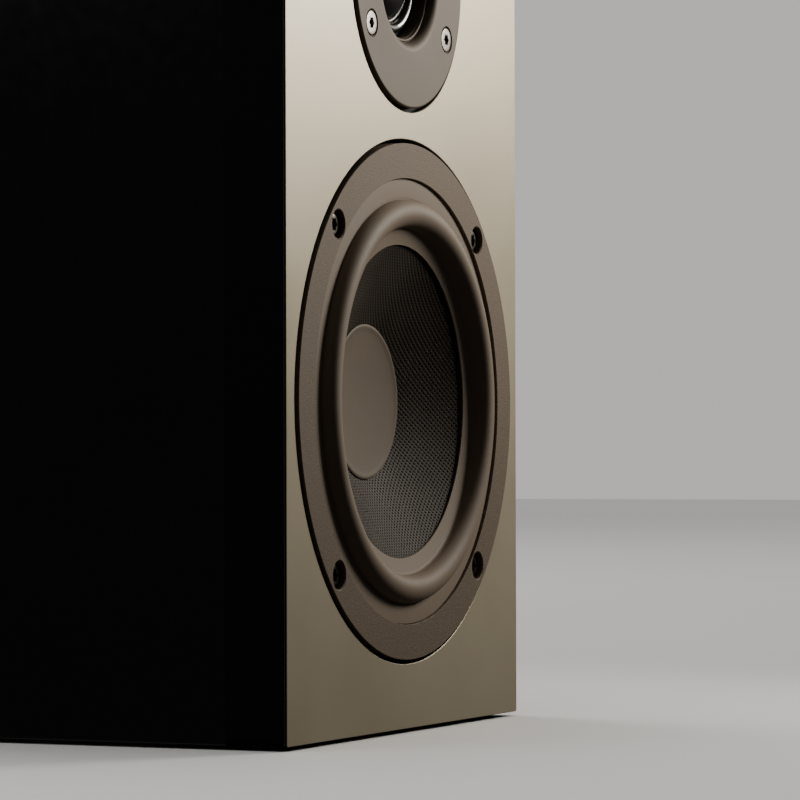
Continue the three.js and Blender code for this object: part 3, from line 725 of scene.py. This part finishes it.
def make_pads():
    for node in (f"foot_pad_{end}_{side}" for end in ("front", "rear") for side in ("left", "right")):
        x, depth, _ = middle(node)
        width, _, thick = extent(node)
        radius = width / 2
        profile = [(0, 0), (radius - 0.5, 0), (radius - 0.1, 0.25), (radius, thick * 0.6), (radius - 0.3, thick),
                   (0, thick)]
        finished(upright(profile, x, depth, corners(node)[0][2]), f"{node}_disc", "foot_rubber", node)


def make_linings():
    """Fibre mats on the side walls: a crowned pad with a lumpy, fluffy face."""
    columns, lines = 60, 72
    for side in ("left", "right"):
        node = f"damping_felt_{side}"
        low, high = corners(node)
        thick, long, tall = extent(node)
        bm = bmesh.new()

        def point(i, j, layer):
            u, v = i / columns * 2 - 1, j / lines * 2 - 1
            crown = (1 - abs(u) ** 8) * (1 - abs(v) ** 8)
            lump = 0.5 + 0.25 * math.sin(9 * u + 3 * v) + 0.25 * math.sin(11 * v - 5 * u + 1)
            height = 0.5 + (thick - 0.5) * crown * (0.86 + 0.12 * lump) if layer else 0.0
            spread = 1 - 0.015 * (1 - crown)
            x = high[0] - height if side == "right" else low[0] + height
            return place(x, low[1] + long / 2 * (1 + u * spread), low[2] + tall / 2 * (1 + v * spread))

        layers = [[[bm.verts.new(point(i, j, layer)) for j in range(lines + 1)] for i in range(columns + 1)]
                  for layer in (0, 1)]
        for grid in layers:
            for i in range(columns):
                for j in range(lines):
                    bm.faces.new((grid[i][j], grid[i + 1][j], grid[i + 1][j + 1], grid[i][j + 1]))
        rim = [(i, 0) for i in range(columns)] + [(columns, j) for j in range(lines)]
        rim += [(i, lines) for i in range(columns, 0, -1)] + [(0, j) for j in range(lines, 0, -1)]
        under, face = layers
        for (a, b), (c, d) in zip(rim, rim[1:] + rim[:1]):
            bm.faces.new((under[a][b], under[c][d], face[c][d], face[a][b]))
        bmesh.ops.recalc_face_normals(bm, faces=bm.faces)
        finished(bm, f"{node}_mat", "damping_wool", node, sharp=80)


# ---- Screws ----

def on_circle(count, radius, first):
    """Places on a circle as (x, z)."""
    angles = [math.radians(first + 360 * i / count) for i in range(count)]
    return [(radius * math.cos(a), radius * math.sin(a)) for a in angles]


WOOFER_SCREWS = on_circle(4, 82.4, 45)
TWEETER_SCREWS = on_circle(3, 36.4, 90)
HEAD = 3.7 - reach("woofer_screw_1")[0]      # from the head's top to its seat in the counterbore
PAN_HEAD = [(3.0, 0), (3.5, 0.1), (4.0, 0.5), (4.2, 1.1), (4.2, HEAD - 0.2), (4.0, HEAD), (2.3, HEAD)]
FLAT_HEAD = [(3.4, 0), (3.95, 0.05), (4.2, 0.3), (1.9, 2.6)]


def star(radius, depth):
    """A six-lobed socket's radius as a function of the angle."""
    return lambda angle: radius * (1 + depth * math.cos(6 * angle))


def cross(radius):
    """A cross-head socket's radius as a function of the angle."""
    return lambda angle: radius * (0.30 + 0.70 * abs(math.cos(2 * angle)) ** 6)


def ridged(radius, depth, pitch, root, rise):
    """A thread's radius at one depth, as a function of the angle, between root and root + rise."""
    def thread(angle):
        turn = (depth / pitch - angle / (2 * math.pi)) % 1
        return radius * (root + rise * (1 - abs(2 * turn - 1)))
    return thread


def threaded(radius, start, end, pitch):
    """Rings of a screw thread from depth start to depth end, tapering to the tip."""
    rings = []
    rises = int((end - start) / pitch * 5)
    for i in range(rises + 1):
        depth = start + (end - start) * i / rises
        taper = min(1.0, (end - depth) / (2 * pitch) + 0.25)
        rings.append((ridged(radius * taper, depth, pitch, 0.78, 0.22), depth))
    return rings


def make_screws(driver, places, axis_z, head, socket, socket_depth, thread, pitch):
    """Screws with a six-lobed socket. head holds its rings as (radius, depth below the top)."""
    top, tip = reach(f"{driver}_screw_1")
    rings = [(radius, top + below) for radius, below in head]
    floor = top + socket_depth
    lobed = [star(socket * share, 0.13) for share in (0.55, 0.98, 1.0, 1.07)]
    hollow = [(0, floor), (lobed[0], floor), (lobed[1], floor - 0.15), (lobed[2], top + 0.25), (lobed[3], top)]
    shank = threaded(thread, rings[-1][1] + 0.4, tip - 0.2, pitch)
    profile = hollow + rings + shank + [(0, shank[-1][1] + 0.1)]
    for i, (x, z) in enumerate(places):
        node = f"{driver}_screw_{i + 1}"
        finished(lathe(profile, x, axis_z + z, SMALL), f"{node}_torx", "screw_steel", node)


# ---- Woofer ----

FACE_Y = reach("woofer_frame")[0]            # flange face
FLANGE_BACK = FACE_Y + 7.6
FLANGE_RADIUS = 89
RIM = 76.9                                   # outer edge of the rubber's seat
SEAT = 1.45                                  # depth of that seat
SEAT_INNER = 70.6
ROLL = 64.85                                 # middle of the half roll
ROLL_HALF = 4.9
LIP = 54.15                                  # inner edge of the gluing lip
CAP = 27
CAP_DEPTH = 16.8
COIL = 19
COIL_WALL = 0.5
PLATE = reach("woofer_front_plate")[0]
SHELF = 46                                   # depth of the basket's floor
WINDOWS = 8
WINDOW_FIRST = 22.5                          # degrees
WINDOW_SIZE = (36, 22, 24)
WINDOW_PLACE = (62, 31)                      # distance from the axis, and depth


def make_woofer_frame():
    profile = eased([
        (FLANGE_RADIUS, FLANGE_BACK), (FLANGE_RADIUS, FACE_Y + 0.1), (FLANGE_RADIUS - 0.1, FACE_Y),
        (RIM + 0.1, FACE_Y), (RIM, FACE_Y + 0.1), (RIM, SEAT), (SEAT_INNER, SEAT),
        (SEAT_INNER, FLANGE_BACK + 1), (68, 16), (51, SHELF), (44, SHELF), (44, PLATE - 3.5),
        (31, PLATE - 3.5), (31, PLATE - 0.3), (48, PLATE - 0.3), (54, SHELF + 2), (72, 17),
        (76, FLANGE_BACK + 3), (76, FLANGE_BACK),
    ], 0.8)
    ring_part = to_object(lathe(profile, 0, WOOFER_Z, 192), "woofer_basket")
    tools = []
    for k in range(WINDOWS):
        angle = math.radians(WINDOW_FIRST + 360 / WINDOWS * k)
        bm = bmesh.new()
        bmesh.ops.create_cube(bm, size=1, matrix=Matrix.Diagonal([side * MM for side in WINDOW_SIZE] + [1]))
        upright_edges = [e for e in bm.edges if abs((e.verts[0].co - e.verts[1].co).normalized().x) > 0.9]
        bmesh.ops.bevel(bm, geom=upright_edges, offset=4 * MM, segments=5, profile=0.5, affect="EDGES")
        away, depth = WINDOW_PLACE
        spot = place(away * math.cos(angle), depth, WOOFER_Z + away * math.sin(angle))
        bm.transform(Matrix.Translation(spot) @ Matrix.Rotation(-angle, 4, "Y"))
        tools.append(bm)
    for x, z in WOOFER_SCREWS:
        bore = [(0, FACE_Y - 1), (6.35, FACE_Y - 1), (4.85, FACE_Y + 0.35), (4.85, 3.8), (4.6, 4.0), (2.7, 4.0),
                (2.7, 14), (0, 14)]
        tools.append(lathe(bore, x, WOOFER_Z + z, SMALL))
    carve(ring_part, tools)
    finished(ring_part, "woofer_basket", "cast_frame", "woofer_frame")


def make_woofer_gasket():
    front, back = reach("woofer_gasket")
    profile = eased([(79.4, front), (88.6, front), (88.6, back), (79.4, back)], 0.3)
    finished(lathe(profile, 0, WOOFER_Z), "woofer_gasket_ring", "gasket_foam", "woofer_gasket")


def flexing(piece, outer, inner, axis_z, moving):
    """Lets a ring bend between the cabinet, at radius outer, and the moving body, at radius inner."""
    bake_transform(piece, "cabinet", moving, start=(0, FACE, axis_z * MM), end=(0, FACE + 0.01, axis_z * MM))
    weights = piece.data.attributes["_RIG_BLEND"].data
    for vert, weight in zip(piece.data.vertices, weights):
        radius = math.hypot(vert.co.x, vert.co.z - axis_z * MM) / MM
        share = min(max((outer - radius) / (outer - inner), 0), 1)
        weight.value = share * share * (3 - 2 * share)


def make_woofer_surround():
    """A half roll of rubber with a flat flange outside and a gluing lip inside."""
    crest, skin_thick = reach("woofer_surround")[0], 0.9
    base = crest + ROLL_HALF
    inside = ROLL_HALF - skin_thick
    outline = [(RIM - 0.3, 0.15), (RIM - 0.9, 0.12), (ROLL + ROLL_HALF + 0.9, 0.15), (ROLL + ROLL_HALF + 0.2, 0.45)]
    outline += arc((ROLL, base), (ROLL_HALF, ROLL_HALF), 0, -180, 28)
    outline += [(ROLL - ROLL_HALF - 0.2, base + 0.75), (ROLL - ROLL_HALF - 0.9, base + 1.05),
                (LIP + 0.35, 2.72), (LIP, 2.8), (LIP, 3.3), (ROLL - inside, base + 1.4)]
    outline += arc((ROLL, base), (inside, inside), -180, 0, 24)
    outline += [(ROLL + inside, 1.1), (RIM - 0.3, 1.15)]
    piece = finished(lathe(outline, 0, WOOFER_Z, 192), "woofer_surround_roll", "surround_rubber",
                     "woofer_surround", None, sharp=60)
    flexing(piece, ROLL + ROLL_HALF, ROLL - ROLL_HALF, WOOFER_Z, "woofer_diaphragm")


def make_woofer_cone():
    """A straight woven cone with a short turned-out edge under the rubber's lip."""
    edge, steps = 3.6, 22
    slope = (CAP_DEPTH - edge) / (LIP - CAP)
    neck = COIL + 0.4
    front = [(58.8, 2.4)]
    for i in range(steps + 1):
        radius = LIP + (CAP - LIP) * i / steps
        front.append((radius, edge + (LIP - radius) * slope))
    front.append((neck, CAP_DEPTH + (CAP - neck) * slope))
    back = [(radius, depth + 1.1) for radius, depth in reversed(front)]
    finished(lathe(front + back, 0, WOOFER_Z, 192), "woofer_cone_weave", "woven_fibre", "woofer_cone",
             "woofer_diaphragm")


def make_dust_cap():
    bottom = CAP_DEPTH + 1.6
    front = [(0, bottom)]
    front += [(r, bottom - 1.75 * (r / 24) ** 2) for r in (3, 6, 9, 12, 15, 18, 21, 24)]
    front += [(25.2, CAP_DEPTH - 0.42), (25.9, CAP_DEPTH - 0.66), (26.5, CAP_DEPTH - 0.68),
              (26.9, CAP_DEPTH - 0.45)]
    back = [(26.3, CAP_DEPTH - 0.05), (24, bottom - 0.9)]
    back += [(r, bottom + 0.8 - 1.7 * (r / 24) ** 2) for r in (18, 12, 6)] + [(0, bottom + 0.8)]
    finished(lathe(front + back, 0, WOOFER_Z), "woofer_cap_dish", "cap_paper", "woofer_dust_cap",
             "woofer_diaphragm")


def winding(outer, front, back, wire):
    """Rings of a coil's turns between two depths."""
    turns = max(2, int((back - front) / wire))
    pitch = (back - front) / turns
    rings = []
    for i in range(turns):
        rings += [(outer - 0.12, front + pitch * i), (outer, front + pitch * (i + 0.5))]
    return rings + [(outer - 0.12, back)]


def make_woofer_coil():
    front, back = reach("woofer_voice_coil")
    inside = COIL - COIL_WALL
    outline = [(inside, front), (COIL, front), (COIL, 55)]
    outline += winding(COIL + 1.2, 55.3, back - 0.4, 0.55)
    outline += [(inside + 0.4, back), (inside, back)]
    finished(lathe(outline, 0, WOOFER_Z, 96), "woofer_coil_winding", "copper_wire", "woofer_voice_coil",
             "woofer_diaphragm")


def make_spider():
    """Cloth pressed into rings of waves."""
    level = SHELF - 1.4
    start, end, waves, steps = 21.5, 44.5, 4, 64
    front = [(COIL + 0.4, level)]
    for i in range(steps + 1):
        share = i / steps
        wave = math.sin(2 * math.pi * waves * share) * 0.95 * min(1, 6 * share, 6 * (1 - share))
        front.append((start + (end - start) * share, level + wave))
    front.append((50, level))
    back = [(radius, depth + 0.55) for radius, depth in reversed(front)]
    piece = finished(lathe(front + back, 0, WOOFER_Z, 128), "woofer_spider_waves", "spider_cloth",
                     "woofer_spider", None, sharp=80)
    flexing(piece, 44, 22, WOOFER_Z, "woofer_diaphragm")


def machined(node, inner, outer, z, slot, ease=0.8):
    """A turned ring that stands for a CAD ring."""
    front, back = reach(node)
    profile = eased([(inner, front), (outer, front), (outer, back), (inner, back)], ease)
    finished(lathe(profile, 0, z), f"{node}_ring", slot, node)


def make_woofer_motor():
    machined("woofer_front_plate", COIL + 2.6, 48, WOOFER_Z, "motor_steel")
    machined("woofer_magnet", 25, 50, WOOFER_Z, "ferrite", 1.5)
    front, back = reach("woofer_yoke")
    plate = back - 6
    profile = eased([(5, front), (COIL - 1.4, front), (COIL - 1.4, plate), (48, plate), (48, back), (5, back)], 1.0)
    finished(lathe(profile, 0, WOOFER_Z), "woofer_yoke_turned", "motor_steel", "woofer_yoke")
    low, high = corners("woofer_tag_strip")
    tags_from = high[2] - 1.4
    bm = brick(low, [high[0], high[1], tags_from], 0.4)
    for x in (-5, 5):
        brick([x - 1.4, low[1] + 1, tags_from - 0.2], [x + 1.4, high[1] - 1, high[2]], 0.2, bm)
    finished(bm, "woofer_tag_board", "black_plastic", "woofer_tag_strip")


# ---- Tweeter ----

PLATE_FACE = reach("tweeter_faceplate")[0]
PLATE_RADIUS = 44.7
DOME = 14.3
DOME_BASE = 7
DOME_RISE = 4.6
THROAT = 20.2


def make_tweeter_plate():
    """A flat plate that dips through a short flare to a beaded throat."""
    clamp = DOME_BASE - 0.4
    outline = [(PLATE_RADIUS, 3.0), (PLATE_RADIUS, PLATE_FACE + 0.7)]
    outline += arc((PLATE_RADIUS - 0.7, PLATE_FACE + 0.7), (0.7, 0.7), -15, -90, 5)
    outline += arc((25.4, PLATE_FACE + 3.2), (-3.6, -3.2), 90, 0, 12)
    outline += arc((21.1, PLATE_FACE + 3.55), (0.55, 0.55), -20, -200, 8)
    outline += [(THROAT, PLATE_FACE + 4.2), (THROAT, clamp), (31, clamp), (31, 3.0)]
    plate = to_object(lathe(outline, 0, TWEETER_Z), "tweeter_plate")
    tools = []
    for x, z in TWEETER_SCREWS:
        sink = [(0, PLATE_FACE - 1), (5.05, PLATE_FACE - 1), (4.85, PLATE_FACE + 0.15), (4.6, PLATE_FACE + 0.35),
                (2.3, PLATE_FACE + 2.6), (2.3, 5), (0, 5)]
        tools.append(lathe(sink, x, TWEETER_Z + z, SMALL))
    carve(plate, tools)
    finished(plate, "tweeter_plate", "satin_plate", "tweeter_faceplate", sharp=28)


def make_tweeter_dome():
    curve = (DOME ** 2 + DOME_RISE ** 2) / (2 * DOME_RISE)
    half = math.degrees(math.asin(DOME / curve))
    centre = DOME_BASE - DOME_RISE + curve
    outside = arc((0, centre), (curve, curve), -90, -90 + half, 16)
    inside = arc((0, centre), (curve - 0.5, curve - 0.5), -90 + half, -90, 12)
    outside[0] = (0, outside[0][1])
    inside[-1] = (0, inside[-1][1])
    finished(lathe(outside + inside, 0, TWEETER_Z), "tweeter_dome_cloth", "dome_cloth", "tweeter_dome",
             "tweeter_diaphragm", sharp=60)


def make_tweeter_surround():
    roll, skin_thick = 2.1, 0.5
    centre = (DOME + 0.3 + roll, DOME_BASE + 0.4)
    outline = arc(centre, (roll, roll), -180, 0, 16)
    outline += [(24, DOME_BASE), (24, DOME_BASE + 0.5)]
    outline += arc(centre, (roll - skin_thick, roll - skin_thick), 0, -180, 12)
    piece = finished(lathe(outline, 0, TWEETER_Z), "tweeter_surround_roll", "dome_cloth", "tweeter_surround",
                     None, sharp=60)
    flexing(piece, DOME + 4.4, DOME + 0.4, TWEETER_Z, "tweeter_diaphragm")


def make_tweeter_motor():
    machined("tweeter_front_plate", 15.6, 30, TWEETER_Z, "motor_steel", 0.5)
    machined("tweeter_magnet", 18, 32.5, TWEETER_Z, "ferrite", 1.2)
    front, back = reach("tweeter_yoke")
    plate = back - 4
    profile = eased([(0, front), (12.9, front), (12.9, plate), (30, plate), (30, back), (0, back)], 0.8)
    finished(lathe(profile, 0, TWEETER_Z), "tweeter_yoke_turned", "motor_steel", "tweeter_yoke")
    coil_front, coil_back = reach("tweeter_voice_coil")
    outline = [(13.8, coil_front), (DOME - 0.15, coil_front)]
    outline += winding(DOME, coil_front + 3.4, coil_back - 0.2, 0.22)
    outline += [(13.8, coil_back)]
    finished(lathe(outline, 0, TWEETER_Z, 96), "tweeter_coil_winding", "copper_wire", "tweeter_voice_coil",
             "tweeter_diaphragm")


# ---- Port ----

def make_port():
    front, back = reach("port_tube")
    flare_middle = 27.5
    outline = [(35, back - 2.5), (35, back - 1)]
    outline += arc((34, back - 1), (1, 1), 0, 90, 4)
    outline += arc((flare_middle, back - 17), (-7.5, 17), 90, 0, 20)
    outline += [(20, front + 3)]
    outline += arc((21.3, front + 3), (-1.3, -3), 0, 90, 4)
    outline += [(22.6, front + 0.6), (22.6, REAR - 21), (28.4, REAR - 12), (28.4, back - 2.5)]
    finished(lathe(outline, 0, PORT_Z), "port_tube_moulded", "black_plastic", "port_tube", sharp=40)


# ---- Terminal cup and binding posts ----

CUP_FLANGE = 2.5
CUP_RECESS = 25
CUP_SCREWS = [(-48, -33), (48, -33), (-48, 33), (48, 33)]
POSTS = {side: middle(f"post_stud_{side}")[0] for side in ("black", "red")}


def make_terminal_cup():
    """A moulded cup with drafted walls."""
    front, back = reach("terminal_cup")
    flange_front = back - CUP_FLANGE
    floor = back - CUP_RECESS
    cup = to_object(slab(rounded_box(54, 39, 8, 0, CUP_Z, 8), flange_front, back, 0.7), "terminal_cup_moulded")
    carve(cup, [slab(rounded_box(42.5, 27.5, 4, 0, CUP_Z, 6), front, flange_front + 1, 0.3)], "UNION")
    inset_steps = [(-1.0, back + 1), (0.0, back - 0.6), (0.0, back - 1.2), (1.6, floor + 1.2), (2.4, floor + 0.3),
                   (3.6, floor)]
    inner = rounded_box(40, 25, 5, 0, CUP_Z, 8)
    bores = [(3.6, front - 3, back - 10, x, CUP_Z, SMALL) for x in POSTS.values()]
    bores += [(1.8, flange_front - 3, back + 2, x, CUP_Z + z, 24) for x, z in CUP_SCREWS]
    tools = [loft([[place(x, depth, z) for x, z in inner(inset)] for inset, depth in inset_steps])]
    tools += [lathe([(0, start), (radius, start), (radius, end), (0, end)], x, z, count)
              for radius, start, end, x, z, count in bores]
    carve(cup, tools)
    finished(cup, "terminal_cup_moulded", "black_plastic", "terminal_cup")


def make_cup_screws():
    for i, (x, z) in enumerate(CUP_SCREWS):
        node = f"terminal_screw_{i + 1}"
        tip, crown = reach(node)
        seat = crown - 1.8
        head = [(2.2, crown), (2.75, crown - 0.35), (3.0, crown - 0.9), (3.0, seat), (1.4, seat)]
        floor = [(0, crown - 1.0), (cross(1.0), crown - 0.95)]
        mouth = [(cross(1.55), crown - 0.1), (1.75, crown)]
        thread = [(radius, 2 * seat - depth) for radius, depth in threaded(1.4, seat + 0.3, 2 * seat - tip, 1.1)]
        profile = floor + mouth + head + thread + [(0, tip)]
        finished(lathe(profile, x, CUP_Z + z, SMALL), f"{node}_cross", "screw_steel", node)


def make_posts():
    for side, x in POSTS.items():
        make_stud(side, x)
        make_collar(side, x)
        make_grip(side, x)


def make_collar(side, x):
    node = f"post_collar_{side}"
    front, back = reach(node)

    def knurled(angle):
        return 5.6 - 0.18 * (0.5 + 0.5 * math.cos(30 * angle))
    profile = [(3.5, front), (5.2, front), (knurled, front + 0.3), (knurled, back - 0.3), (5.2, back), (3.5, back)]
    finished(lathe(profile, x, CUP_Z, 120), f"{node}_knurled", "gilt_brass", node, f"{side}_clamp")


def make_stud(side, x):
    """A hollow threaded stud with a shoulder on the cup's floor and a nut behind it."""
    node = f"post_stud_{side}"
    front, back = reach(node)
    shoulder = extent(node)[0] / 2
    floor = reach("terminal_cup")[1] - CUP_RECESS
    shoulder_front, shoulder_back = floor + 0.3, floor + 2.9
    pitch = 1.0

    def hexagon(angle):
        return 5.2 / math.cos((angle + math.pi / 6) % (math.pi / 3) - math.pi / 6)
    profile = [(0, front), (2.6, front), (3.0, front + 0.4), (3.0, front + 3), (hexagon, front + 5),
               (hexagon, front + 8.5), (3.0, front + 8.5), (3.0, shoulder_front), (shoulder, shoulder_front),
               (shoulder, shoulder_back - 0.4), (shoulder - 0.4, shoulder_back), (3.0, shoulder_back)]
    turns = int((back - shoulder_back - 1) / pitch * 5)
    for i in range(turns + 1):
        depth = shoulder_back + 0.2 + (back - shoulder_back - 0.8) * i / turns
        profile.append((ridged(1, depth, pitch, 2.72, 0.26), depth))
    profile += [(2.6, back), (2.25, back), (2.05, back - 0.4), (2.05, back - 15.6), (0, back - 16)]
    finished(lathe(profile, x, CUP_Z, SMALL), f"{node}_threaded", "gilt_brass", node)


def make_grip(side, x):
    """A fluted grip that flares at both ends."""
    node = f"post_knob_{side}"
    front, back = reach(node)

    def fluted(radius, depth):
        return lambda angle: radius - depth * max(0.0, math.cos(8 * angle)) ** 0.7
    profile = [(3.5, front), (6.7, front), (7.0, front + 0.3), (7.0, front + 1.4)]
    profile += [(fluted(7.0, cut), front + step) for cut, step in ((0.2, 1.7), (0.55, 2.1), (0.8, 2.8))]
    profile += [(fluted(7.0, 0.8), back - 2.2), (fluted(7.0, 0.7), back - 1.2), (fluted(6.8, 0.55), back - 0.6),
                (fluted(6.4, 0.35), back - 0.2), (6.0, back), (4.0, back), (3.5, back - 0.5)]
    finished(lathe(profile, x, CUP_Z, 128), f"{node}_grip", f"{side}_plastic", node, f"{side}_knob")


# ---- Crossover ----

def make_crossover():
    finished(brick(*corners("crossover_board"), 0.25), "crossover_circuit", "circuit_board", "crossover_board")
    make_inductor("woofer_inductor", 9)
    make_inductor("tweeter_inductor", 7)
    make_capacitor("woofer_capacitor")
    make_capacitor("tweeter_capacitor")
    finished(brick(*corners("tweeter_resistor"), 0.7), "tweeter_resistor_block", "resistor_ceramic",
             "tweeter_resistor")


def make_inductor(node, inner, wire=1.4):
    """An air-cored coil: its turns bulge between two plain ends."""
    x, depth, _ = middle(node)
    width, _, tall = extent(node)
    outer = width / 2
    turns = int((tall - 2) / wire)
    profile = [(inner, 0.4), (outer - 2, 0.0), (outer - 1.2, 0.5)]
    for i in range(turns):
        start = 1 + (tall - 2) * i / turns
        profile += [(outer - less, start + wire * share)
                    for less, share in ((0.6, 0), (0.12, 0.25), (0, 0.5), (0.12, 0.75))]
    profile += [(outer - 0.6, tall - 1), (outer - 2, tall), (inner, tall - 0.4)]
    finished(upright(profile, x, depth, corners(node)[0][2], 96), f"{node}_winding", "copper_wire", node, sharp=70)


def make_capacitor(node):
    length, _, tall = extent(node)
    radius, half = tall / 2, length / 2
    end = [(0, half - 1.2), (radius * 0.7, half - 1.1), (radius * 0.88, half - 0.3), (radius - 0.5, half),
           (radius, half - 0.6)]
    profile = [(size, -along) for size, along in end] + end[::-1]
    finished(lying(profile, *middle(node)), f"{node}_wrapped", "capacitor_film", node)


# ---- Internal leads ----

def lead_routes():
    """The leads' routes in millimetres, as (x, depth, height)."""
    cup = reach("terminal_cup")[0]
    board = corners("crossover_board")[1][2]
    return {
        "input_lead": [(0, cup - 4, 70), (0, cup - 9, 66), (4, cup - 14, 52), (10, cup - 18, 34),
                       (12, cup - 28, 24), (12, cup - 34, board + 2.6)],
        "woofer_lead": [(0, 134, board + 2.6), (0, 122, board + 4), (0, 100, 26), (0, 70, 30), (0, 50, 38),
                        (0, 42.5, 44.2)],
        "tweeter_lead": [(54, 136, board + 2.6), (56, 122, 26), (60, 104, 60), (60, 96, 120), (58, 92, 180),
                         (50, 80, 216), (36, 60, 236), (20, 38, 246), (14, 31, 248)],
    }


def make_leads():
    """Twin wires, twisted round each other along each route."""
    wire, twist = 0.95, 16.0
    for node, points in lead_routes().items():
        middle_line = smooth_route(points, 24)
        bm = bmesh.new()
        for phase in (0, math.pi):
            along, strand = 0.0, []
            for i, point in enumerate(middle_line):
                ahead = middle_line[min(i + 1, len(middle_line) - 1)] - middle_line[max(i - 1, 0)]
                if i:
                    along += (point - middle_line[i - 1]).length / MM
                side = ahead.cross(Vector((0.3, 0.2, 1))).normalized()
                up = ahead.cross(side).normalized()
                angle = 2 * math.pi * along / twist + phase
                strand.append(point + (side * math.cos(angle) + up * math.sin(angle)) * wire * MM)
            tube(strand, wire, 10, bm)
        finished(bm, f"{node}_pair", "lead_jacket", node, sharp=60)


make_facing()
make_baffle()
make_carcass()
make_rear_panel()
make_pads()
make_linings()
make_woofer_frame()
make_woofer_gasket()
make_woofer_surround()
make_woofer_cone()
make_dust_cap()
make_woofer_coil()
make_spider()
make_woofer_motor()
make_screws("woofer", WOOFER_SCREWS, WOOFER_Z, PAN_HEAD, 2.05, 2.1, 2.3, 1.6)
make_tweeter_plate()
make_tweeter_dome()
make_tweeter_surround()
make_tweeter_motor()
make_screws("tweeter", TWEETER_SCREWS, TWEETER_Z, FLAT_HEAD, 1.75, 1.8, 1.9, 1.3)
make_port()
make_terminal_cup()
make_cup_screws()
make_posts()
make_crossover()
make_leads()


# ---- Floor and lights ----

FLOOR_SPAN = 12.0
PALE = (1.0, 0.98, 0.95)


def make_floor():
    """A wide pale floor that stays level to the horizon."""
    bm = bmesh.new()
    bmesh.ops.create_grid(bm, x_segments=8, y_segments=8, size=FLOOR_SPAN / 2)
    floor = to_object(bm, "studio_floor")
    finish = Finish("studio_floor")
    tone = finish.noise(900, 2)
    finish.set(Base_Color=finish.mix(tone, (0.60, 0.59, 0.57), (0.66, 0.65, 0.63)), Roughness=0.6)
    floor.data.materials.append(finish.material)
    floor.visible_diffuse = False
    floor.visible_glossy = False
    data = bpy.data.lights.new("floor_light", "SUN")
    data.energy = 2.2
    data.angle = math.radians(60)
    lamp = bpy.data.objects.new("floor_light", data)
    lamp.location = (0, 0, 3)
    light_only([lamp], floor, "INCLUDE")
    bpy.context.scene.collection.objects.link(lamp)


def light_only(lights, thing, state):
    """Makes lights reach only one thing, or all but that thing."""
    listed = bpy.data.collections.new(f"{state}_{thing.name}")
    listed.objects.link(thing)
    listed.collection_objects[0].light_linking.link_state = state
    for light in lights:
        light.light_linking.receiver_collection = listed


def softbox(name, spot, target, size, power, colour, spread=180, glossy=True):
    data = bpy.data.lights.new(name, "AREA")
    data.shape = "RECTANGLE"
    data.size, data.size_y = size
    data.energy = power
    data.color = colour
    data.spread = math.radians(spread)
    light = bpy.data.objects.new(name, data)
    aim = (Vector(target) - Vector(spot)).normalized()
    light.matrix_world = Matrix.Translation(spot) @ aim.to_track_quat("-Z", "Y").to_matrix().to_4x4()
    light.visible_camera = False
    light.visible_glossy = glossy
    bpy.context.scene.collection.objects.link(light)
    return light


def make_lights():
    key = softbox("key", (0.53, FACE - 0.38, 0.43), (0, FACE, 0.31), (0.22, 0.26), 1.6, (1.0, 0.95, 0.85), 95)
    softbox("top", (0.3, 0.3, 2.6), (0, 0, 0.1), (3.0, 3.0), 9, PALE, glossy=False)
    rear = softbox("rear", (1.0, 2.4, 1.0), (0, 0, 0.15), (1.6, 1.2), 42, PALE)
    rear_left = softbox("rear_left", (-1.9, 1.5, 1.3), (0, 0, 0.15), (1.2, 1.2), 8, PALE)
    light_only([key, rear, rear_left], bpy.data.objects["top_panel_board"], "EXCLUDE")
    world = bpy.data.worlds.new("studio")
    world.use_nodes = True
    tree = world.node_tree
    sky = tree.nodes["Background"]
    sky.inputs["Color"].default_value = (0.62, 0.61, 0.59, 1)
    path = tree.nodes.new("ShaderNodeLightPath")
    strength = tree.nodes.new("ShaderNodeMapRange")
    strength.inputs["To Min"].default_value = 0.04
    strength.inputs["To Max"].default_value = 0.9
    tree.links.new(path.outputs["Is Camera Ray"], strength.inputs["Value"])
    tree.links.new(strength.outputs["Result"], sky.inputs["Strength"])
    bpy.context.scene.world = world


make_floor()
make_lights()
